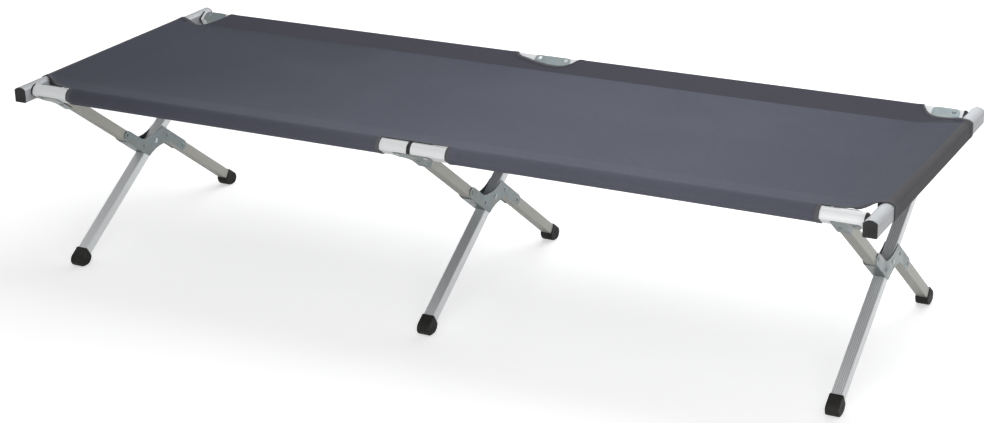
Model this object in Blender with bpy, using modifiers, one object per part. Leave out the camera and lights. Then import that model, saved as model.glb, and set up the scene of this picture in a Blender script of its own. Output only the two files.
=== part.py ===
"""Folding camping cot: side rails on three scissor frames, push-fit end bars and a fabric bed."""

from math import asin, atan2, cos, pi, radians, sin, tan, tau

import bmesh
import bpy
from mathutils import Matrix, Vector

# Overall layout. Lengths are in metres; X runs along the cot, Y across it and Z up from the floor.
LENGTH = 1.900
WIDTH = 0.700
RAIL_INSET = 0.036
RAIL_HEIGHT = 0.403
BAR_DROP = 0.0015
FRAME_INSET = 0.083
MIDDLE_FRAME_X = 0.005
CLEARANCE = 0.0003

# Side rails: two halves a side, D-shaped aluminium tube with the dome facing away from the leg.
RAIL_WIDTH = 0.0255
RAIL_DEPTH = 0.0305
RAIL_DOME = 0.006
RAIL_WALL = 0.0015
SECTION_CORNER = 0.0015
RAIL_GAP = 0.009
RAIL_PLUG_FLANGE = 0.004
RAIL_PLUG_DEPTH = 0.022

# End bars: the same shape of tube, larger and standing upright.
BAR_WIDTH = 0.027
BAR_DEPTH = 0.033
BAR_DOME = 0.006
BAR_WALL = 0.0015
BAR_CAP_FLANGE = 0.003
BAR_CAP_RIM = 0.0008
BAR_CAP_DEPTH = 0.018

# Pegs that join a rail's end to a bar.
PEG_RADIUS = 0.004
PEG_REACH = 0.018
PEG_INSERT = 0.018

# Legs: rectangular tube with grooves along its two faces that look up and down.
LEG_WIDTH = 0.024
LEG_DEPTH = 0.022
LEG_WALL = 0.0015
LEG_CORNER = 0.002
GROOVE_COUNT = 5
GROOVE_PITCH = 0.0038
GROOVE_WIDTH = 0.0016
GROOVE_DEPTH = 0.0005
LEG_FLOOR_GAP = 0.030

# Crossing brackets. The half legs are riveted at two points each, and the straight leg turns on the
# middle rivet.
INNER_RIVET_OFFSET = 0.0445
RIVET_PITCH = 0.070
BRACKET_SHEET = 0.0015
BRACKET_HALF_HEIGHT = 0.012
BRACKET_WEB_UP = 0.062
BRACKET_WEB_DOWN = 0.0078
LOBE_REACH = 0.030
NOTCH_REACH = 0.0155
WAIST_HEIGHT = 0.0155

# Top brackets: folded sheet that holds a leg between two cheeks, one on each side of the rail.
CHEEK_SHEET = 0.0012
CHEEK_RISE = 0.009
CHEEK_CORNER = 0.008
WING_END_REACH = 0.044
WING_MIDDLE_REACH = 0.042
TONGUE_LENGTH = 0.062
TONGUE_SLANT = 0.008
TONGUE_FILLET = 0.018
WING_RIVET_INSET = 0.011
LEG_RIVET_DROP = 0.029

# Rivets. The seat is how far a fixed rivet's head is pressed into the sheet.
RIVET_RADIUS = 0.003
RIVET_HEAD_RADIUS = 0.0056
RIVET_HEAD_HEIGHT = 0.0022
RIVET_SEAT = 0.0002

# Rubber feet.
FOOT_WALL = 0.0016
FOOT_COVER = 0.052
FOOT_TOE_RADIUS = 0.014
FOOT_EDGE = 0.002

# Fabric: deck, sleeves round the rails and pockets round the bars.
DECK_THICKNESS = 0.0016
DECK_SAG = 0.010
DECK_EDGE_RISE = 0.0162
DECK_CELLS = (18, 8)
END_RISE_POWER = 8
END_SAG_POWER = 4
SLEEVE_WALL = 0.001
SLEEVE_INSETS = {"near": 0.114, "far": 0.105}
OPENINGS = {"near": (-0.065, 0.082), "far": (-0.083, 0.066)}
OPENING_CUT_INSET = 0.018
POCKET_INSET = 0.080
CORNER_CUT_OVERHANG = 0.010
CORNER_CUT_INSET = 0.042
CORNER_CUT_RADIUS = 0.020

# How finely round shapes are drawn, and where shading turns sharp.
ROUND_STEPS = 10
ARC_STEPS = 6
FILLET_STEPS = 4
SHEET_CORNER_STEPS = 3
CORNER_STEPS = 2
SHARP_ANGLE = radians(32)
BEVEL_ANGLE = radians(60)
FLAT_ANGLE = radians(1)
MERGE_DISTANCE = 1e-6

# Worked out from the sizes above. Slopes are those of the legs above the floor.
RAIL_SPACING = WIDTH - 2 * RAIL_INSET
END_FRAME_X = LENGTH / 2 - FRAME_INSET
BAR_HEIGHT = RAIL_HEIGHT - BAR_DROP
CROSSING_HEIGHT = RAIL_HEIGHT / 2
BENT_SLOPE = atan2(CROSSING_HEIGHT, RAIL_SPACING / 2 - INNER_RIVET_OFFSET)
STRAIGHT_SLOPE = atan2(CROSSING_HEIGHT, RAIL_SPACING / 2)
BAR_CENTRE_X = LENGTH / 2 - BAR_WIDTH / 2
BAR_INNER_X = BAR_CENTRE_X - BAR_WIDTH / 2
RAIL_END_X = BAR_INNER_X - 2 * CLEARANCE - RAIL_PLUG_FLANGE
LEG_TOP_DROP = RAIL_DEPTH / 2 + CLEARANCE
SLEEVE_OUTSET = CLEARANCE + SLEEVE_WALL
SLEEVE_ENDS = {name: LENGTH / 2 - inset for name, inset in SLEEVE_INSETS.items()}
DECK_EDGE_HEIGHT = RAIL_HEIGHT + DECK_EDGE_RISE
RIVET_HOLE = RIVET_RADIUS + CLEARANCE
FRAMES = {"left": -END_FRAME_X, "middle": MIDDLE_FRAME_X, "right": END_FRAME_X}
SIDES = {"near": -1, "far": 1}
ENDS = {"left": -1, "right": 1}

for old in list(bpy.data.objects):
    bpy.data.objects.remove(old)

cot = bpy.data.collections.new("camping_cot")
cutters = bpy.data.collections.new("cutters")
bpy.context.scene.collection.children.link(cot)
bpy.context.scene.collection.children.link(cutters)


# Materials

def new_material(name, colour, roughness, metallic):
    material = bpy.data.materials.new(name)
    material.use_nodes = True
    shader = material.node_tree.nodes["Principled BSDF"]
    shader.inputs["Base Color"].default_value = (*colour, 1)
    shader.inputs["Roughness"].default_value = roughness
    shader.inputs["Metallic"].default_value = metallic
    material.diffuse_color = (*colour, 1)
    return material


aluminium = new_material("anodised_aluminium", (0.72, 0.73, 0.74), 0.35, 1.0)
leg_aluminium = new_material("ribbed_aluminium", (0.55, 0.55, 0.55), 0.42, 1.0)
zinc_steel = new_material("zinc_plated_steel", (0.42, 0.48, 0.48), 0.38, 1.0)
rivet_steel = new_material("bright_rivet_steel", (0.70, 0.72, 0.72), 0.25, 1.0)
black_plastic = new_material("black_plastic", (0.015, 0.015, 0.016), 0.50, 0.0)
black_rubber = new_material("black_rubber", (0.018, 0.017, 0.017), 0.70, 0.0)
fabric = new_material("blue_grey_polyester", (0.115, 0.122, 0.155), 0.85, 0.0)


# Frames of reference. Each matrix takes an outline's own X, Y and thickness to the world.

def frame_from(origin, x_axis, y_axis):
    x_axis = Vector(x_axis)
    y_axis = Vector(y_axis)
    matrix = Matrix((x_axis, y_axis, x_axis.cross(y_axis))).transposed().to_4x4()
    matrix.translation = Vector(origin)
    return matrix


def leg_direction(side):
    """Unit vector from the crossing up to the rail on this side. The bent leg carries the near one."""
    slope = BENT_SLOPE if side < 0 else STRAIGHT_SLOPE
    return Vector((0, side * cos(slope), sin(slope)))


def rail_point(side, x):
    return Vector((x, side * RAIL_SPACING / 2, RAIL_HEIGHT))


def section_frame(side, x):
    """A rail's section: its own Y leads out along the leg and its thickness along the cot."""
    outward = leg_direction(side)
    return frame_from(rail_point(side, x), outward.cross(Vector((1, 0, 0))), outward)


def cheek_frame(side, x, offset=0.0):
    """The plane of a cheek: its own X runs along the cot and its Y out along the leg."""
    outward = leg_direction(side)
    across = Vector((1, 0, 0)).cross(outward)
    return frame_from(rail_point(side, x) + across * offset, (1, 0, 0), outward)


def transverse_frame(x):
    """The plane across the cot at the crossing: its own X is the world's Y and its Y the world's Z."""
    return frame_from((x, 0, CROSSING_HEIGHT), (0, 1, 0), (0, 0, 1))


# Outlines, as lists of (x, y) in anticlockwise order

def arc(centre, radius, start, end, steps=ARC_STEPS):
    angles = [start + (end - start) * i / steps for i in range(steps + 1)]
    return [(centre[0] + radius * cos(a), centre[1] + radius * sin(a)) for a in angles]


def d_section(width, depth, dome, inset=0.0):
    """A D standing on its flat side, drawn in or let out by an even inset."""
    half = width / 2 - inset
    foot = -depth / 2 + inset
    dome_radius = ((width / 2) ** 2 + dome ** 2) / (2 * dome)
    dome_centre = (0, depth / 2 - dome_radius)
    spread = asin(half / (dome_radius - inset))
    corner = max(SECTION_CORNER - inset, SECTION_CORNER / 3)
    left = arc((-half + corner, foot + corner), corner, pi, 1.5 * pi, CORNER_STEPS)
    right = arc((half - corner, foot + corner), corner, 1.5 * pi, tau, CORNER_STEPS)
    top = arc(dome_centre, dome_radius - inset, pi / 2 - spread, pi / 2 + spread)
    return left + right + top


def rail_section(inset=0.0):
    return d_section(RAIL_WIDTH, RAIL_DEPTH, RAIL_DOME, inset)


def bar_section(inset=0.0):
    return d_section(BAR_WIDTH, BAR_DEPTH, BAR_DOME, inset)


def box_outline(half_x, half_y):
    return [(-half_x, -half_y), (half_x, -half_y), (half_x, half_y), (-half_x, half_y)]


def groove_points():
    """The grooved upper edge of the leg's section, from right to left."""
    points = []
    for i in reversed(range(GROOVE_COUNT)):
        middle = (i - (GROOVE_COUNT - 1) / 2) * GROOVE_PITCH
        for shift, sink in ((0.5, 0), (0, 1), (-0.5, 0)):
            points.append((middle + shift * GROOVE_WIDTH, LEG_DEPTH / 2 - sink * GROOVE_DEPTH))
    return points


def leg_section():
    across = LEG_WIDTH / 2 - LEG_CORNER
    up = LEG_DEPTH / 2 - LEG_CORNER
    half = arc((across, up), LEG_CORNER, 0, pi / 2, CORNER_STEPS) + groove_points()
    half += arc((-across, up), LEG_CORNER, pi / 2, pi, CORNER_STEPS)
    return half + [(-x, -y) for x, y in half]


# Solids

def finish(obj, material, parent=None):
    """Moves a finished mesh object into the cot's collection, under its joint's empty."""
    for collection in list(obj.users_collection):
        collection.objects.unlink(obj)
    cot.objects.link(obj)
    obj.data.materials.clear()
    obj.data.materials.append(material)
    obj.data.shade_smooth()
    obj.data.set_sharp_from_angle(angle=SHARP_ANGLE)
    if parent:
        obj.parent = parent
        obj.matrix_parent_inverse = parent.matrix_world.inverted()
    return obj


def extruded(name, loops, thickness, frame):
    """A flat outline, its later loops being holes, extruded equally to both sides of its plane."""
    curve = bpy.data.curves.new(name, "CURVE")
    curve.dimensions = "2D"
    curve.fill_mode = "BOTH"
    curve.extrude = thickness / 2
    for loop in loops:
        spline = curve.splines.new("POLY")
        spline.points.add(len(loop) - 1)
        for point, (x, y) in zip(spline.points, loop):
            point.co = (x, y, 0, 1)
        spline.use_cyclic_u = True
    drawn = bpy.data.objects.new(name + "_outline", curve)
    bpy.context.scene.collection.objects.link(drawn)
    drawn.matrix_world = frame
    depsgraph = bpy.context.evaluated_depsgraph_get()
    mesh = bpy.data.meshes.new_from_object(drawn.evaluated_get(depsgraph))
    work = bmesh.new()
    work.from_mesh(mesh)
    bmesh.ops.remove_doubles(work, verts=work.verts, dist=MERGE_DISTANCE)
    bmesh.ops.recalc_face_normals(work, faces=work.faces)
    work.to_mesh(mesh)
    work.free()
    mesh.name = name
    obj = bpy.data.objects.new(name, mesh)
    obj.matrix_world = drawn.matrix_world
    bpy.context.scene.collection.objects.link(obj)
    bpy.data.objects.remove(drawn)
    bpy.data.curves.remove(curve)
    return obj


def add_cylinder(work, centre, axis, radius, length):
    turn = Vector(axis).to_track_quat("Z", "Y").to_matrix().to_4x4()
    turn.translation = Vector(centre)
    bmesh.ops.create_cone(
        work,
        cap_ends=True,
        segments=ROUND_STEPS,
        radius1=radius,
        radius2=radius,
        depth=length,
        matrix=turn,
    )


def add_rivet(work, centre, axis, grip):
    """A rivet turned about its axis: a shank as long as the grip between two domed heads."""
    turn = Vector(axis).to_track_quat("Z", "Y").to_matrix().to_4x4()
    turn.translation = Vector(centre)
    dome_radius = (RIVET_HEAD_RADIUS ** 2 + RIVET_HEAD_HEIGHT ** 2) / (2 * RIVET_HEAD_HEIGHT)
    spread = asin(RIVET_HEAD_RADIUS / dome_radius)
    low = grip / 2 + RIVET_HEAD_HEIGHT - dome_radius
    head = arc((0, low), dome_radius, pi / 2, pi / 2 - spread, CORNER_STEPS)
    upper = head + [(RIVET_RADIUS, grip / 2)]
    lower = [(r, -z) for r, z in reversed(upper)]
    verts = [work.verts.new(turn @ Vector((r, 0, z))) for r, z in upper + lower]
    edges = [work.edges.new(pair) for pair in zip(verts, verts[1:])]
    axis_world = turn.to_3x3() @ Vector((0, 0, 1))
    bmesh.ops.spin(
        work,
        geom=verts + edges,
        cent=centre,
        axis=axis_world,
        angle=tau,
        steps=ROUND_STEPS,
        use_merge=True,
    )
    bmesh.ops.remove_doubles(work, verts=work.verts, dist=MERGE_DISTANCE)


def mesh_from(name, build, *arguments):
    """An object whose mesh is drawn by a function that takes an empty bmesh."""
    work = bmesh.new()
    build(work, *arguments)
    bmesh.ops.recalc_face_normals(work, faces=work.faces)
    mesh = bpy.data.meshes.new(name)
    work.to_mesh(mesh)
    work.free()
    obj = bpy.data.objects.new(name, mesh)
    bpy.context.scene.collection.objects.link(obj)
    return obj


def soften(obj, width, segments):
    """Rounds the rims of an extruded piece, whose flat ends are first made one face each."""
    work = bmesh.new()
    work.from_mesh(obj.data)
    bmesh.ops.dissolve_limit(work, angle_limit=FLAT_ANGLE, verts=work.verts, edges=work.edges)
    work.to_mesh(obj.data)
    work.free()
    bevel = obj.modifiers.new("rounded_rim", "BEVEL")
    bevel.width = width
    bevel.segments = segments
    bevel.limit_method = "ANGLE"
    bevel.angle_limit = BEVEL_ANGLE


def as_helper(obj):
    for collection in list(obj.users_collection):
        collection.objects.unlink(obj)
    cutters.objects.link(obj)
    obj.hide_render = True
    obj.display_type = "WIRE"
    return obj


def combine(obj, other, operation="DIFFERENCE"):
    modifier = obj.modifiers.new(other.name, "BOOLEAN")
    modifier.operation = operation
    modifier.solver = "EXACT"
    modifier.object = as_helper(other)


def holes(name, spots, axis, radius, length):
    """Round cutters along one axis through each of the spots."""
    def build(work):
        for spot in spots:
            add_cylinder(work, spot, axis, radius, length)
    return mesh_from(name, build)


# Joint axes

def joint_empty(name, location):
    empty = bpy.data.objects.new(name, None)
    empty.empty_display_size = RAIL_DEPTH
    empty.location = location
    cot.objects.link(empty)
    bpy.context.view_layer.update()
    return empty


fold_axis = joint_empty("fold_axis", (0, 0, CROSSING_HEIGHT))
bar_axes = {
    end: joint_empty(end + "_bar_axis", (sign * BAR_CENTRE_X, 0, BAR_HEIGHT))
    for end, sign in ENDS.items()
}


def side_parent(side):
    """What hangs on the near rail turns about the fold axis, and the far side stays."""
    return fold_axis if side < 0 else None


# Rivet places

def is_middle(frame):
    return frame == "middle"


def wing_reaches(frame):
    """How far a top bracket's cheek runs from the leg's middle towards the cot's left and right ends."""
    short = LEG_WIDTH / 2
    if is_middle(frame):
        return WING_MIDDLE_REACH, WING_MIDDLE_REACH
    return (WING_END_REACH, short) if frame == "left" else (short, WING_END_REACH)


def wing_rivets(side, frame):
    """Centres of the rivets through the rail: one in each long wing of the top bracket."""
    x = FRAMES[frame]
    left, right = wing_reaches(frame)
    shifts = []
    if left > LEG_WIDTH:
        shifts.append(WING_RIVET_INSET - left)
    if right > LEG_WIDTH:
        shifts.append(right - WING_RIVET_INSET)
    return [rail_point(side, x + shift) for shift in shifts]


def leg_rivet(side, frame):
    return rail_point(side, FRAMES[frame]) - leg_direction(side) * LEG_RIVET_DROP


def crossing_points(x):
    """The four rivets of the bent leg, from the upper near one to the lower far one."""
    along = Vector((0, cos(BENT_SLOPE), -sin(BENT_SLOPE)))
    centre = Vector((x, 0, CROSSING_HEIGHT))
    inner = Vector((0, INNER_RIVET_OFFSET, 0))
    return [
        centre - inner - along * RIVET_PITCH,
        centre - inner,
        centre + inner,
        centre + inner + along * RIVET_PITCH,
    ]


# Side rails with their plugs and pegs

def make_half_rail(side_name, end_name):
    side = SIDES[side_name]
    sign = ENDS[end_name]
    inner = RAIL_GAP / 2
    middle = sign * (RAIL_END_X + inner) / 2
    name = f"{side_name}_{end_name}_half_rail"
    loops = [rail_section(), rail_section(RAIL_WALL)]
    rail = extruded(name, loops, RAIL_END_X - inner, section_frame(side, middle))
    spots = wing_rivets(side, end_name)
    spots += [spot for spot in wing_rivets(side, "middle") if (spot.x > 0) == (sign > 0)]
    across = section_frame(side, 0).to_3x3() @ Vector((1, 0, 0))
    combine(rail, holes(name + "_holes", spots, across, RIVET_HOLE, 2 * RAIL_WIDTH))
    finish(rail, aluminium, side_parent(side))


def make_plug(name, side, flange_x, flange, body_sign, spots):
    """A moulded plug: a flange as large as the rail's section and a body that fills the bore."""
    plug = extruded(name, [rail_section()], flange, section_frame(side, flange_x))
    reach = RAIL_PLUG_DEPTH + flange / 2
    middle = flange_x + body_sign * reach / 2
    snug = RAIL_WALL + CLEARANCE
    body = extruded(name + "_body", [rail_section(snug)], reach, section_frame(side, middle))
    combine(plug, body, "UNION")
    across = section_frame(side, 0).to_3x3() @ Vector((1, 0, 0))
    combine(plug, holes(name + "_rivet_holes", spots, across, RIVET_HOLE, 2 * RAIL_WIDTH))
    return plug


def make_inner_plug(side_name, end_name):
    side = SIDES[side_name]
    sign = ENDS[end_name]
    flange = RAIL_GAP / 2 - 1.5 * CLEARANCE
    flange_x = sign * (CLEARANCE / 2 + flange / 2)
    spots = wing_rivets(side, "middle")
    plug = make_plug(f"{side_name}_{end_name}_gap_plug", side, flange_x, flange, sign, spots)
    finish(plug, black_plastic, side_parent(side))


def make_outer_plug(side_name, end_name):
    side = SIDES[side_name]
    sign = ENDS[end_name]
    flange_x = sign * (BAR_INNER_X - CLEARANCE - RAIL_PLUG_FLANGE / 2)
    name = f"{side_name}_{end_name}_end_plug"
    plug = make_plug(name, side, flange_x, RAIL_PLUG_FLANGE, -sign, wing_rivets(side, end_name))
    spot = rail_point(side, flange_x)
    bore = holes(name + "_bore", [spot], (1, 0, 0), PEG_RADIUS + CLEARANCE, 4 * PEG_INSERT)
    combine(plug, bore)
    finish(plug, black_plastic, side_parent(side))


def make_peg(side_name, end_name):
    """The near pegs stop short of the bar, because the near side folds while a bar is still in place."""
    side = SIDES[side_name]
    sign = ENDS[end_name]
    tip = BAR_INNER_X + PEG_REACH if side > 0 else BAR_INNER_X - CLEARANCE
    root = BAR_INNER_X - PEG_INSERT
    spot = rail_point(side, sign * (tip + root) / 2)

    def build(work):
        add_cylinder(work, spot, (1, 0, 0), PEG_RADIUS, tip - root)

    finish(mesh_from(f"{side_name}_{end_name}_peg", build), rivet_steel, side_parent(side))


for side_name in SIDES:
    for end_name in ENDS:
        make_half_rail(side_name, end_name)
        make_inner_plug(side_name, end_name)
        make_outer_plug(side_name, end_name)
        make_peg(side_name, end_name)


# End bars and their caps

def bar_frame(x, y):
    return frame_from((x, y, BAR_HEIGHT), (1, 0, 0), (0, 0, 1))


def make_end_bar(end_name):
    sign = ENDS[end_name]
    length = WIDTH - 2 * (BAR_CAP_FLANGE + CLEARANCE)
    name = end_name + "_end_bar"
    loops = [bar_section(), bar_section(BAR_WALL)]
    bar = extruded(name, loops, length, bar_frame(sign * BAR_CENTRE_X, 0))
    spots = [rail_point(side, sign * BAR_INNER_X) for side in SIDES.values()]
    combine(bar, holes(name + "_peg_holes", spots, (1, 0, 0), PEG_RADIUS + CLEARANCE, 6 * BAR_WALL))
    finish(bar, aluminium, bar_axes[end_name])


def make_bar_cap(side_name, end_name):
    side = SIDES[side_name]
    x = ENDS[end_name] * BAR_CENTRE_X
    name = f"{side_name}_{end_name}_bar_cap"
    flange_y = side * (WIDTH - BAR_CAP_FLANGE) / 2
    cap = extruded(name, [bar_section()], BAR_CAP_FLANGE, bar_frame(x, flange_y))
    soften(cap, BAR_CAP_RIM, 1)
    reach = BAR_CAP_DEPTH + BAR_CAP_FLANGE / 2
    middle = flange_y - side * reach / 2
    body = extruded(name + "_body", [bar_section(BAR_WALL + CLEARANCE)], reach, bar_frame(x, middle))
    combine(cap, body, "UNION")
    finish(cap, black_plastic, bar_axes[end_name])


for end_name in ENDS:
    make_end_bar(end_name)
    for side_name in SIDES:
        make_bar_cap(side_name, end_name)


# Legs

def leg_tube(name, low, high):
    """A tube along the line from its low end to its high end, both cut square."""
    along = (high - low).normalized()
    frame = frame_from((low + high) / 2, (1, 0, 0), along.cross(Vector((1, 0, 0))))
    bore = box_outline(LEG_WIDTH / 2 - LEG_WALL, LEG_DEPTH / 2 - LEG_WALL)
    return extruded(name, [leg_section(), bore], (high - low).length, frame)


def floor_point(side, x):
    return Vector((x, side * RAIL_SPACING / 2, 0))


def round_end_cutter(name, x, centre, towards):
    """What is cut off a tube's square end to leave it round about a rivet."""
    radius = LEG_DEPTH / 2
    angle = atan2(towards.z, towards.y)
    reach = 2 * radius
    curve = arc((0, 0), radius, -pi / 2, pi / 2)
    local = [(0, -reach), (reach, -reach), (reach, reach), (0, reach)] + curve[::-1]
    turned = [(u * cos(angle) - v * sin(angle), u * sin(angle) + v * cos(angle)) for u, v in local]
    frame = frame_from((x, centre.y, centre.z), (0, 1, 0), (0, 0, 1))
    return extruded(name, [turned], 2 * LEG_WIDTH, frame)


def make_straight_leg(frame):
    x = FRAMES[frame]
    up = leg_direction(1)
    low = floor_point(-1, x) + up * LEG_FLOOR_GAP
    high = rail_point(1, x) - up * LEG_TOP_DROP
    name = frame + "_straight_leg"
    leg = leg_tube(name, low, high)
    centre = Vector((x, 0, CROSSING_HEIGHT))
    combine(leg, holes(name + "_pivot_hole", [centre], (1, 0, 0), RIVET_HOLE, 2 * LEG_WIDTH))
    across = up.cross(Vector((1, 0, 0)))
    combine(leg, holes(name + "_top_hole", [leg_rivet(1, frame)], across, RIVET_HOLE, 2 * LEG_DEPTH))
    finish(leg, leg_aluminium)


def make_upper_half_leg(frame):
    x = FRAMES[frame]
    up = leg_direction(-1)
    outer, inner = crossing_points(x)[:2]
    name = frame + "_upper_half_leg"
    leg = leg_tube(name, inner - up * LEG_DEPTH / 2, rail_point(-1, x) - up * LEG_TOP_DROP)
    combine(leg, round_end_cutter(name + "_round_end", x, inner, -up))
    combine(leg, holes(name + "_rivet_holes", [outer, inner], (1, 0, 0), RIVET_HOLE, 2 * LEG_WIDTH))
    across = up.cross(Vector((1, 0, 0)))
    combine(leg, holes(name + "_top_hole", [leg_rivet(-1, frame)], across, RIVET_HOLE, 2 * LEG_DEPTH))
    finish(leg, leg_aluminium, fold_axis)


def make_lower_half_leg(frame):
    x = FRAMES[frame]
    up = leg_direction(-1)
    inner, outer = crossing_points(x)[2:]
    name = frame + "_lower_half_leg"
    leg = leg_tube(name, floor_point(1, x) + up * LEG_FLOOR_GAP, inner + up * LEG_DEPTH / 2)
    combine(leg, round_end_cutter(name + "_round_end", x, inner, up))
    combine(leg, holes(name + "_rivet_holes", [outer, inner], (1, 0, 0), RIVET_HOLE, 2 * LEG_WIDTH))
    finish(leg, leg_aluminium, fold_axis)


for frame in FRAMES:
    make_straight_leg(frame)
    make_upper_half_leg(frame)
    make_lower_half_leg(frame)


# Feet

def foot_outline(slope):
    """Side view about the point where the leg's middle line meets the floor, X leading outwards."""
    half = LEG_DEPTH / 2 + CLEARANCE + FOOT_WALL
    out = Vector((cos(slope), -sin(slope)))
    up = Vector((sin(slope), cos(slope)))
    rim_top = -FOOT_COVER * out + half * up
    rim_low = -FOOT_COVER * out - half * up
    sole = arc((rim_low.x + rim_low.y, rim_low.y), rim_low.y, pi, 1.5 * pi)
    top_meets_floor = rim_top.x + rim_top.y / tan(slope)
    toe_x = top_meets_floor - FOOT_TOE_RADIUS / tan(slope / 2)
    toe = arc((toe_x, FOOT_TOE_RADIUS), FOOT_TOE_RADIUS, -pi / 2, pi / 2 - slope)
    return [tuple(rim_top)] + sole + toe


def make_foot(side_name, frame):
    side = SIDES[side_name]
    x = FRAMES[frame]
    slope = STRAIGHT_SLOPE if side < 0 else BENT_SLOPE
    points = foot_outline(slope)
    if side < 0:
        points = [(-u, v) for u, v in reversed(points)]
    name = f"{side_name}_{frame}_foot"
    plane = frame_from(floor_point(side, x), (0, 1, 0), (0, 0, 1))
    width = LEG_WIDTH + 2 * (CLEARANCE + FOOT_WALL)
    foot = extruded(name, [points], width, plane)
    soften(foot, FOOT_EDGE, 2)
    up = leg_direction(-side)
    low = floor_point(side, x) + up * (LEG_FLOOR_GAP - CLEARANCE)
    high = floor_point(side, x) + up * 2 * FOOT_COVER
    room = [box_outline(LEG_WIDTH / 2 + CLEARANCE, LEG_DEPTH / 2 + CLEARANCE)]
    along = frame_from((low + high) / 2, (1, 0, 0), up.cross(Vector((1, 0, 0))))
    combine(foot, extruded(name + "_socket", room, (high - low).length, along))
    finish(foot, black_rubber, side_parent(-side))


for side_name in SIDES:
    for frame in FRAMES:
        make_foot(side_name, frame)


# Crossing brackets

def crossing_outline():
    """Side view of a crossing bracket about the crossing. One half is the other turned half a turn."""
    slope = BENT_SLOPE
    along = Vector((cos(slope), -sin(slope)))
    normal = Vector((sin(slope), cos(slope)))
    inner = Vector((-INNER_RIVET_OFFSET, 0))
    outer = inner - along * RIVET_PITCH
    half = BRACKET_HALF_HEIGHT
    turn = atan2(normal.y, normal.x)
    points = arc(outer, half, turn, turn + pi)
    lobe = inner + along * LOBE_REACH - normal * half
    notch = -inner + along * NOTCH_REACH - normal * half
    rise = -WAIST_HEIGHT - (lobe.y + notch.y) / 2
    for i in range(ARC_STEPS + 1):
        share = i / ARC_STEPS
        waist = lobe.lerp(notch, share)
        points.append((waist.x, waist.y + rise * 4 * share * (1 - share)))
    return points + [(-x, -y) for x, y in points]


def make_crossing_bracket(frame):
    x = FRAMES[frame]
    name = frame + "_crossing_bracket"
    offset = LEG_WIDTH / 2 + CLEARANCE + BRACKET_SHEET / 2
    outline = crossing_outline()
    bracket = extruded(name, [outline], BRACKET_SHEET, transverse_frame(x - offset))
    other = extruded(name + "_flange", [outline], BRACKET_SHEET, transverse_frame(x + offset))
    combine(bracket, other, "UNION")
    up = leg_direction(-1)
    outward = -up.cross(Vector((1, 0, 0)))
    inner = crossing_points(x)[1]
    middle = inner + up * (BRACKET_WEB_UP - BRACKET_WEB_DOWN) / 2
    middle += outward * (LEG_DEPTH / 2 + CLEARANCE + BRACKET_SHEET / 2)
    plane = frame_from(middle, (1, 0, 0), up)
    web = [box_outline(offset, (BRACKET_WEB_UP + BRACKET_WEB_DOWN) / 2)]
    combine(bracket, extruded(name + "_web", web, BRACKET_SHEET, plane), "UNION")
    grip = 2 * offset + BRACKET_SHEET - 2 * RIVET_SEAT

    def rivets(work):
        for spot in crossing_points(x):
            add_rivet(work, spot, (1, 0, 0), grip)

    combine(bracket, mesh_from(name + "_rivets", rivets), "UNION")
    centre = Vector((x, 0, CROSSING_HEIGHT))
    combine(bracket, holes(name + "_pivot_hole", [centre], (1, 0, 0), RIVET_HOLE, 2 * LEG_WIDTH))
    finish(bracket, zinc_steel, fold_axis)


def make_pivot_rivet(frame):
    centre = Vector((FRAMES[frame], 0, CROSSING_HEIGHT))
    grip = LEG_WIDTH + 2 * (2 * CLEARANCE + BRACKET_SHEET)
    finish(mesh_from(frame + "_pivot_rivet", add_rivet, centre, (1, 0, 0), grip), rivet_steel)


for frame in FRAMES:
    make_crossing_bracket(frame)
    make_pivot_rivet(frame)


# Top brackets

def wing_corner(reach, sign):
    """The rounded outer end of a wing, from its lower to its upper corner, for the right-hand sign."""
    low = -RAIL_DEPTH / 2 - CLEARANCE - CHEEK_SHEET
    radius = min(CHEEK_CORNER, (CHEEK_RISE - low) / 2)
    lower = arc((reach - radius, low + radius), radius, -pi / 2, 0, SHEET_CORNER_STEPS)
    upper = arc((reach - radius, CHEEK_RISE - radius), radius, 0, pi / 2, SHEET_CORNER_STEPS)
    points = lower + upper
    return points if sign > 0 else [(-x, y) for x, y in reversed(points)]


def tongue_fillet(reach, sign):
    """The hollow curve between the tongue on the leg and the wing's lower edge, going outwards."""
    low = -RAIL_DEPTH / 2 - CLEARANCE - CHEEK_SHEET
    edge = LEG_WIDTH / 2 + CLEARANCE + CHEEK_SHEET
    radius = min(TONGUE_FILLET, reach - CHEEK_CORNER - edge)
    points = arc((edge + radius, low - radius), radius, pi, pi / 2, FILLET_STEPS)
    return points if sign > 0 else [(-x, y) for x, y in reversed(points)]


def side_outline(reach, sign):
    """One side of a cheek: up from the tongue's lower end on the right, or down to it on the left."""
    if reach > LEG_WIDTH:
        edge = LEG_WIDTH / 2 + CLEARANCE + CHEEK_SHEET
        end = [(sign * edge, -TONGUE_LENGTH)]
        bend = tongue_fillet(reach, sign)
        corner = wing_corner(reach, sign)
        return end + bend[:-1] + corner if sign > 0 else corner + bend[1:] + end
    end = [(sign * reach, TONGUE_SLANT - TONGUE_LENGTH)]
    centre = (reach - CHEEK_CORNER, CHEEK_RISE - CHEEK_CORNER)
    top = arc(centre, CHEEK_CORNER, 0, pi / 2, SHEET_CORNER_STEPS)
    return end + top if sign > 0 else [(-x, y) for x, y in reversed(top)] + end


def cheek_outline(left, right):
    return side_outline(right, 1) + side_outline(left, -1)


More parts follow.
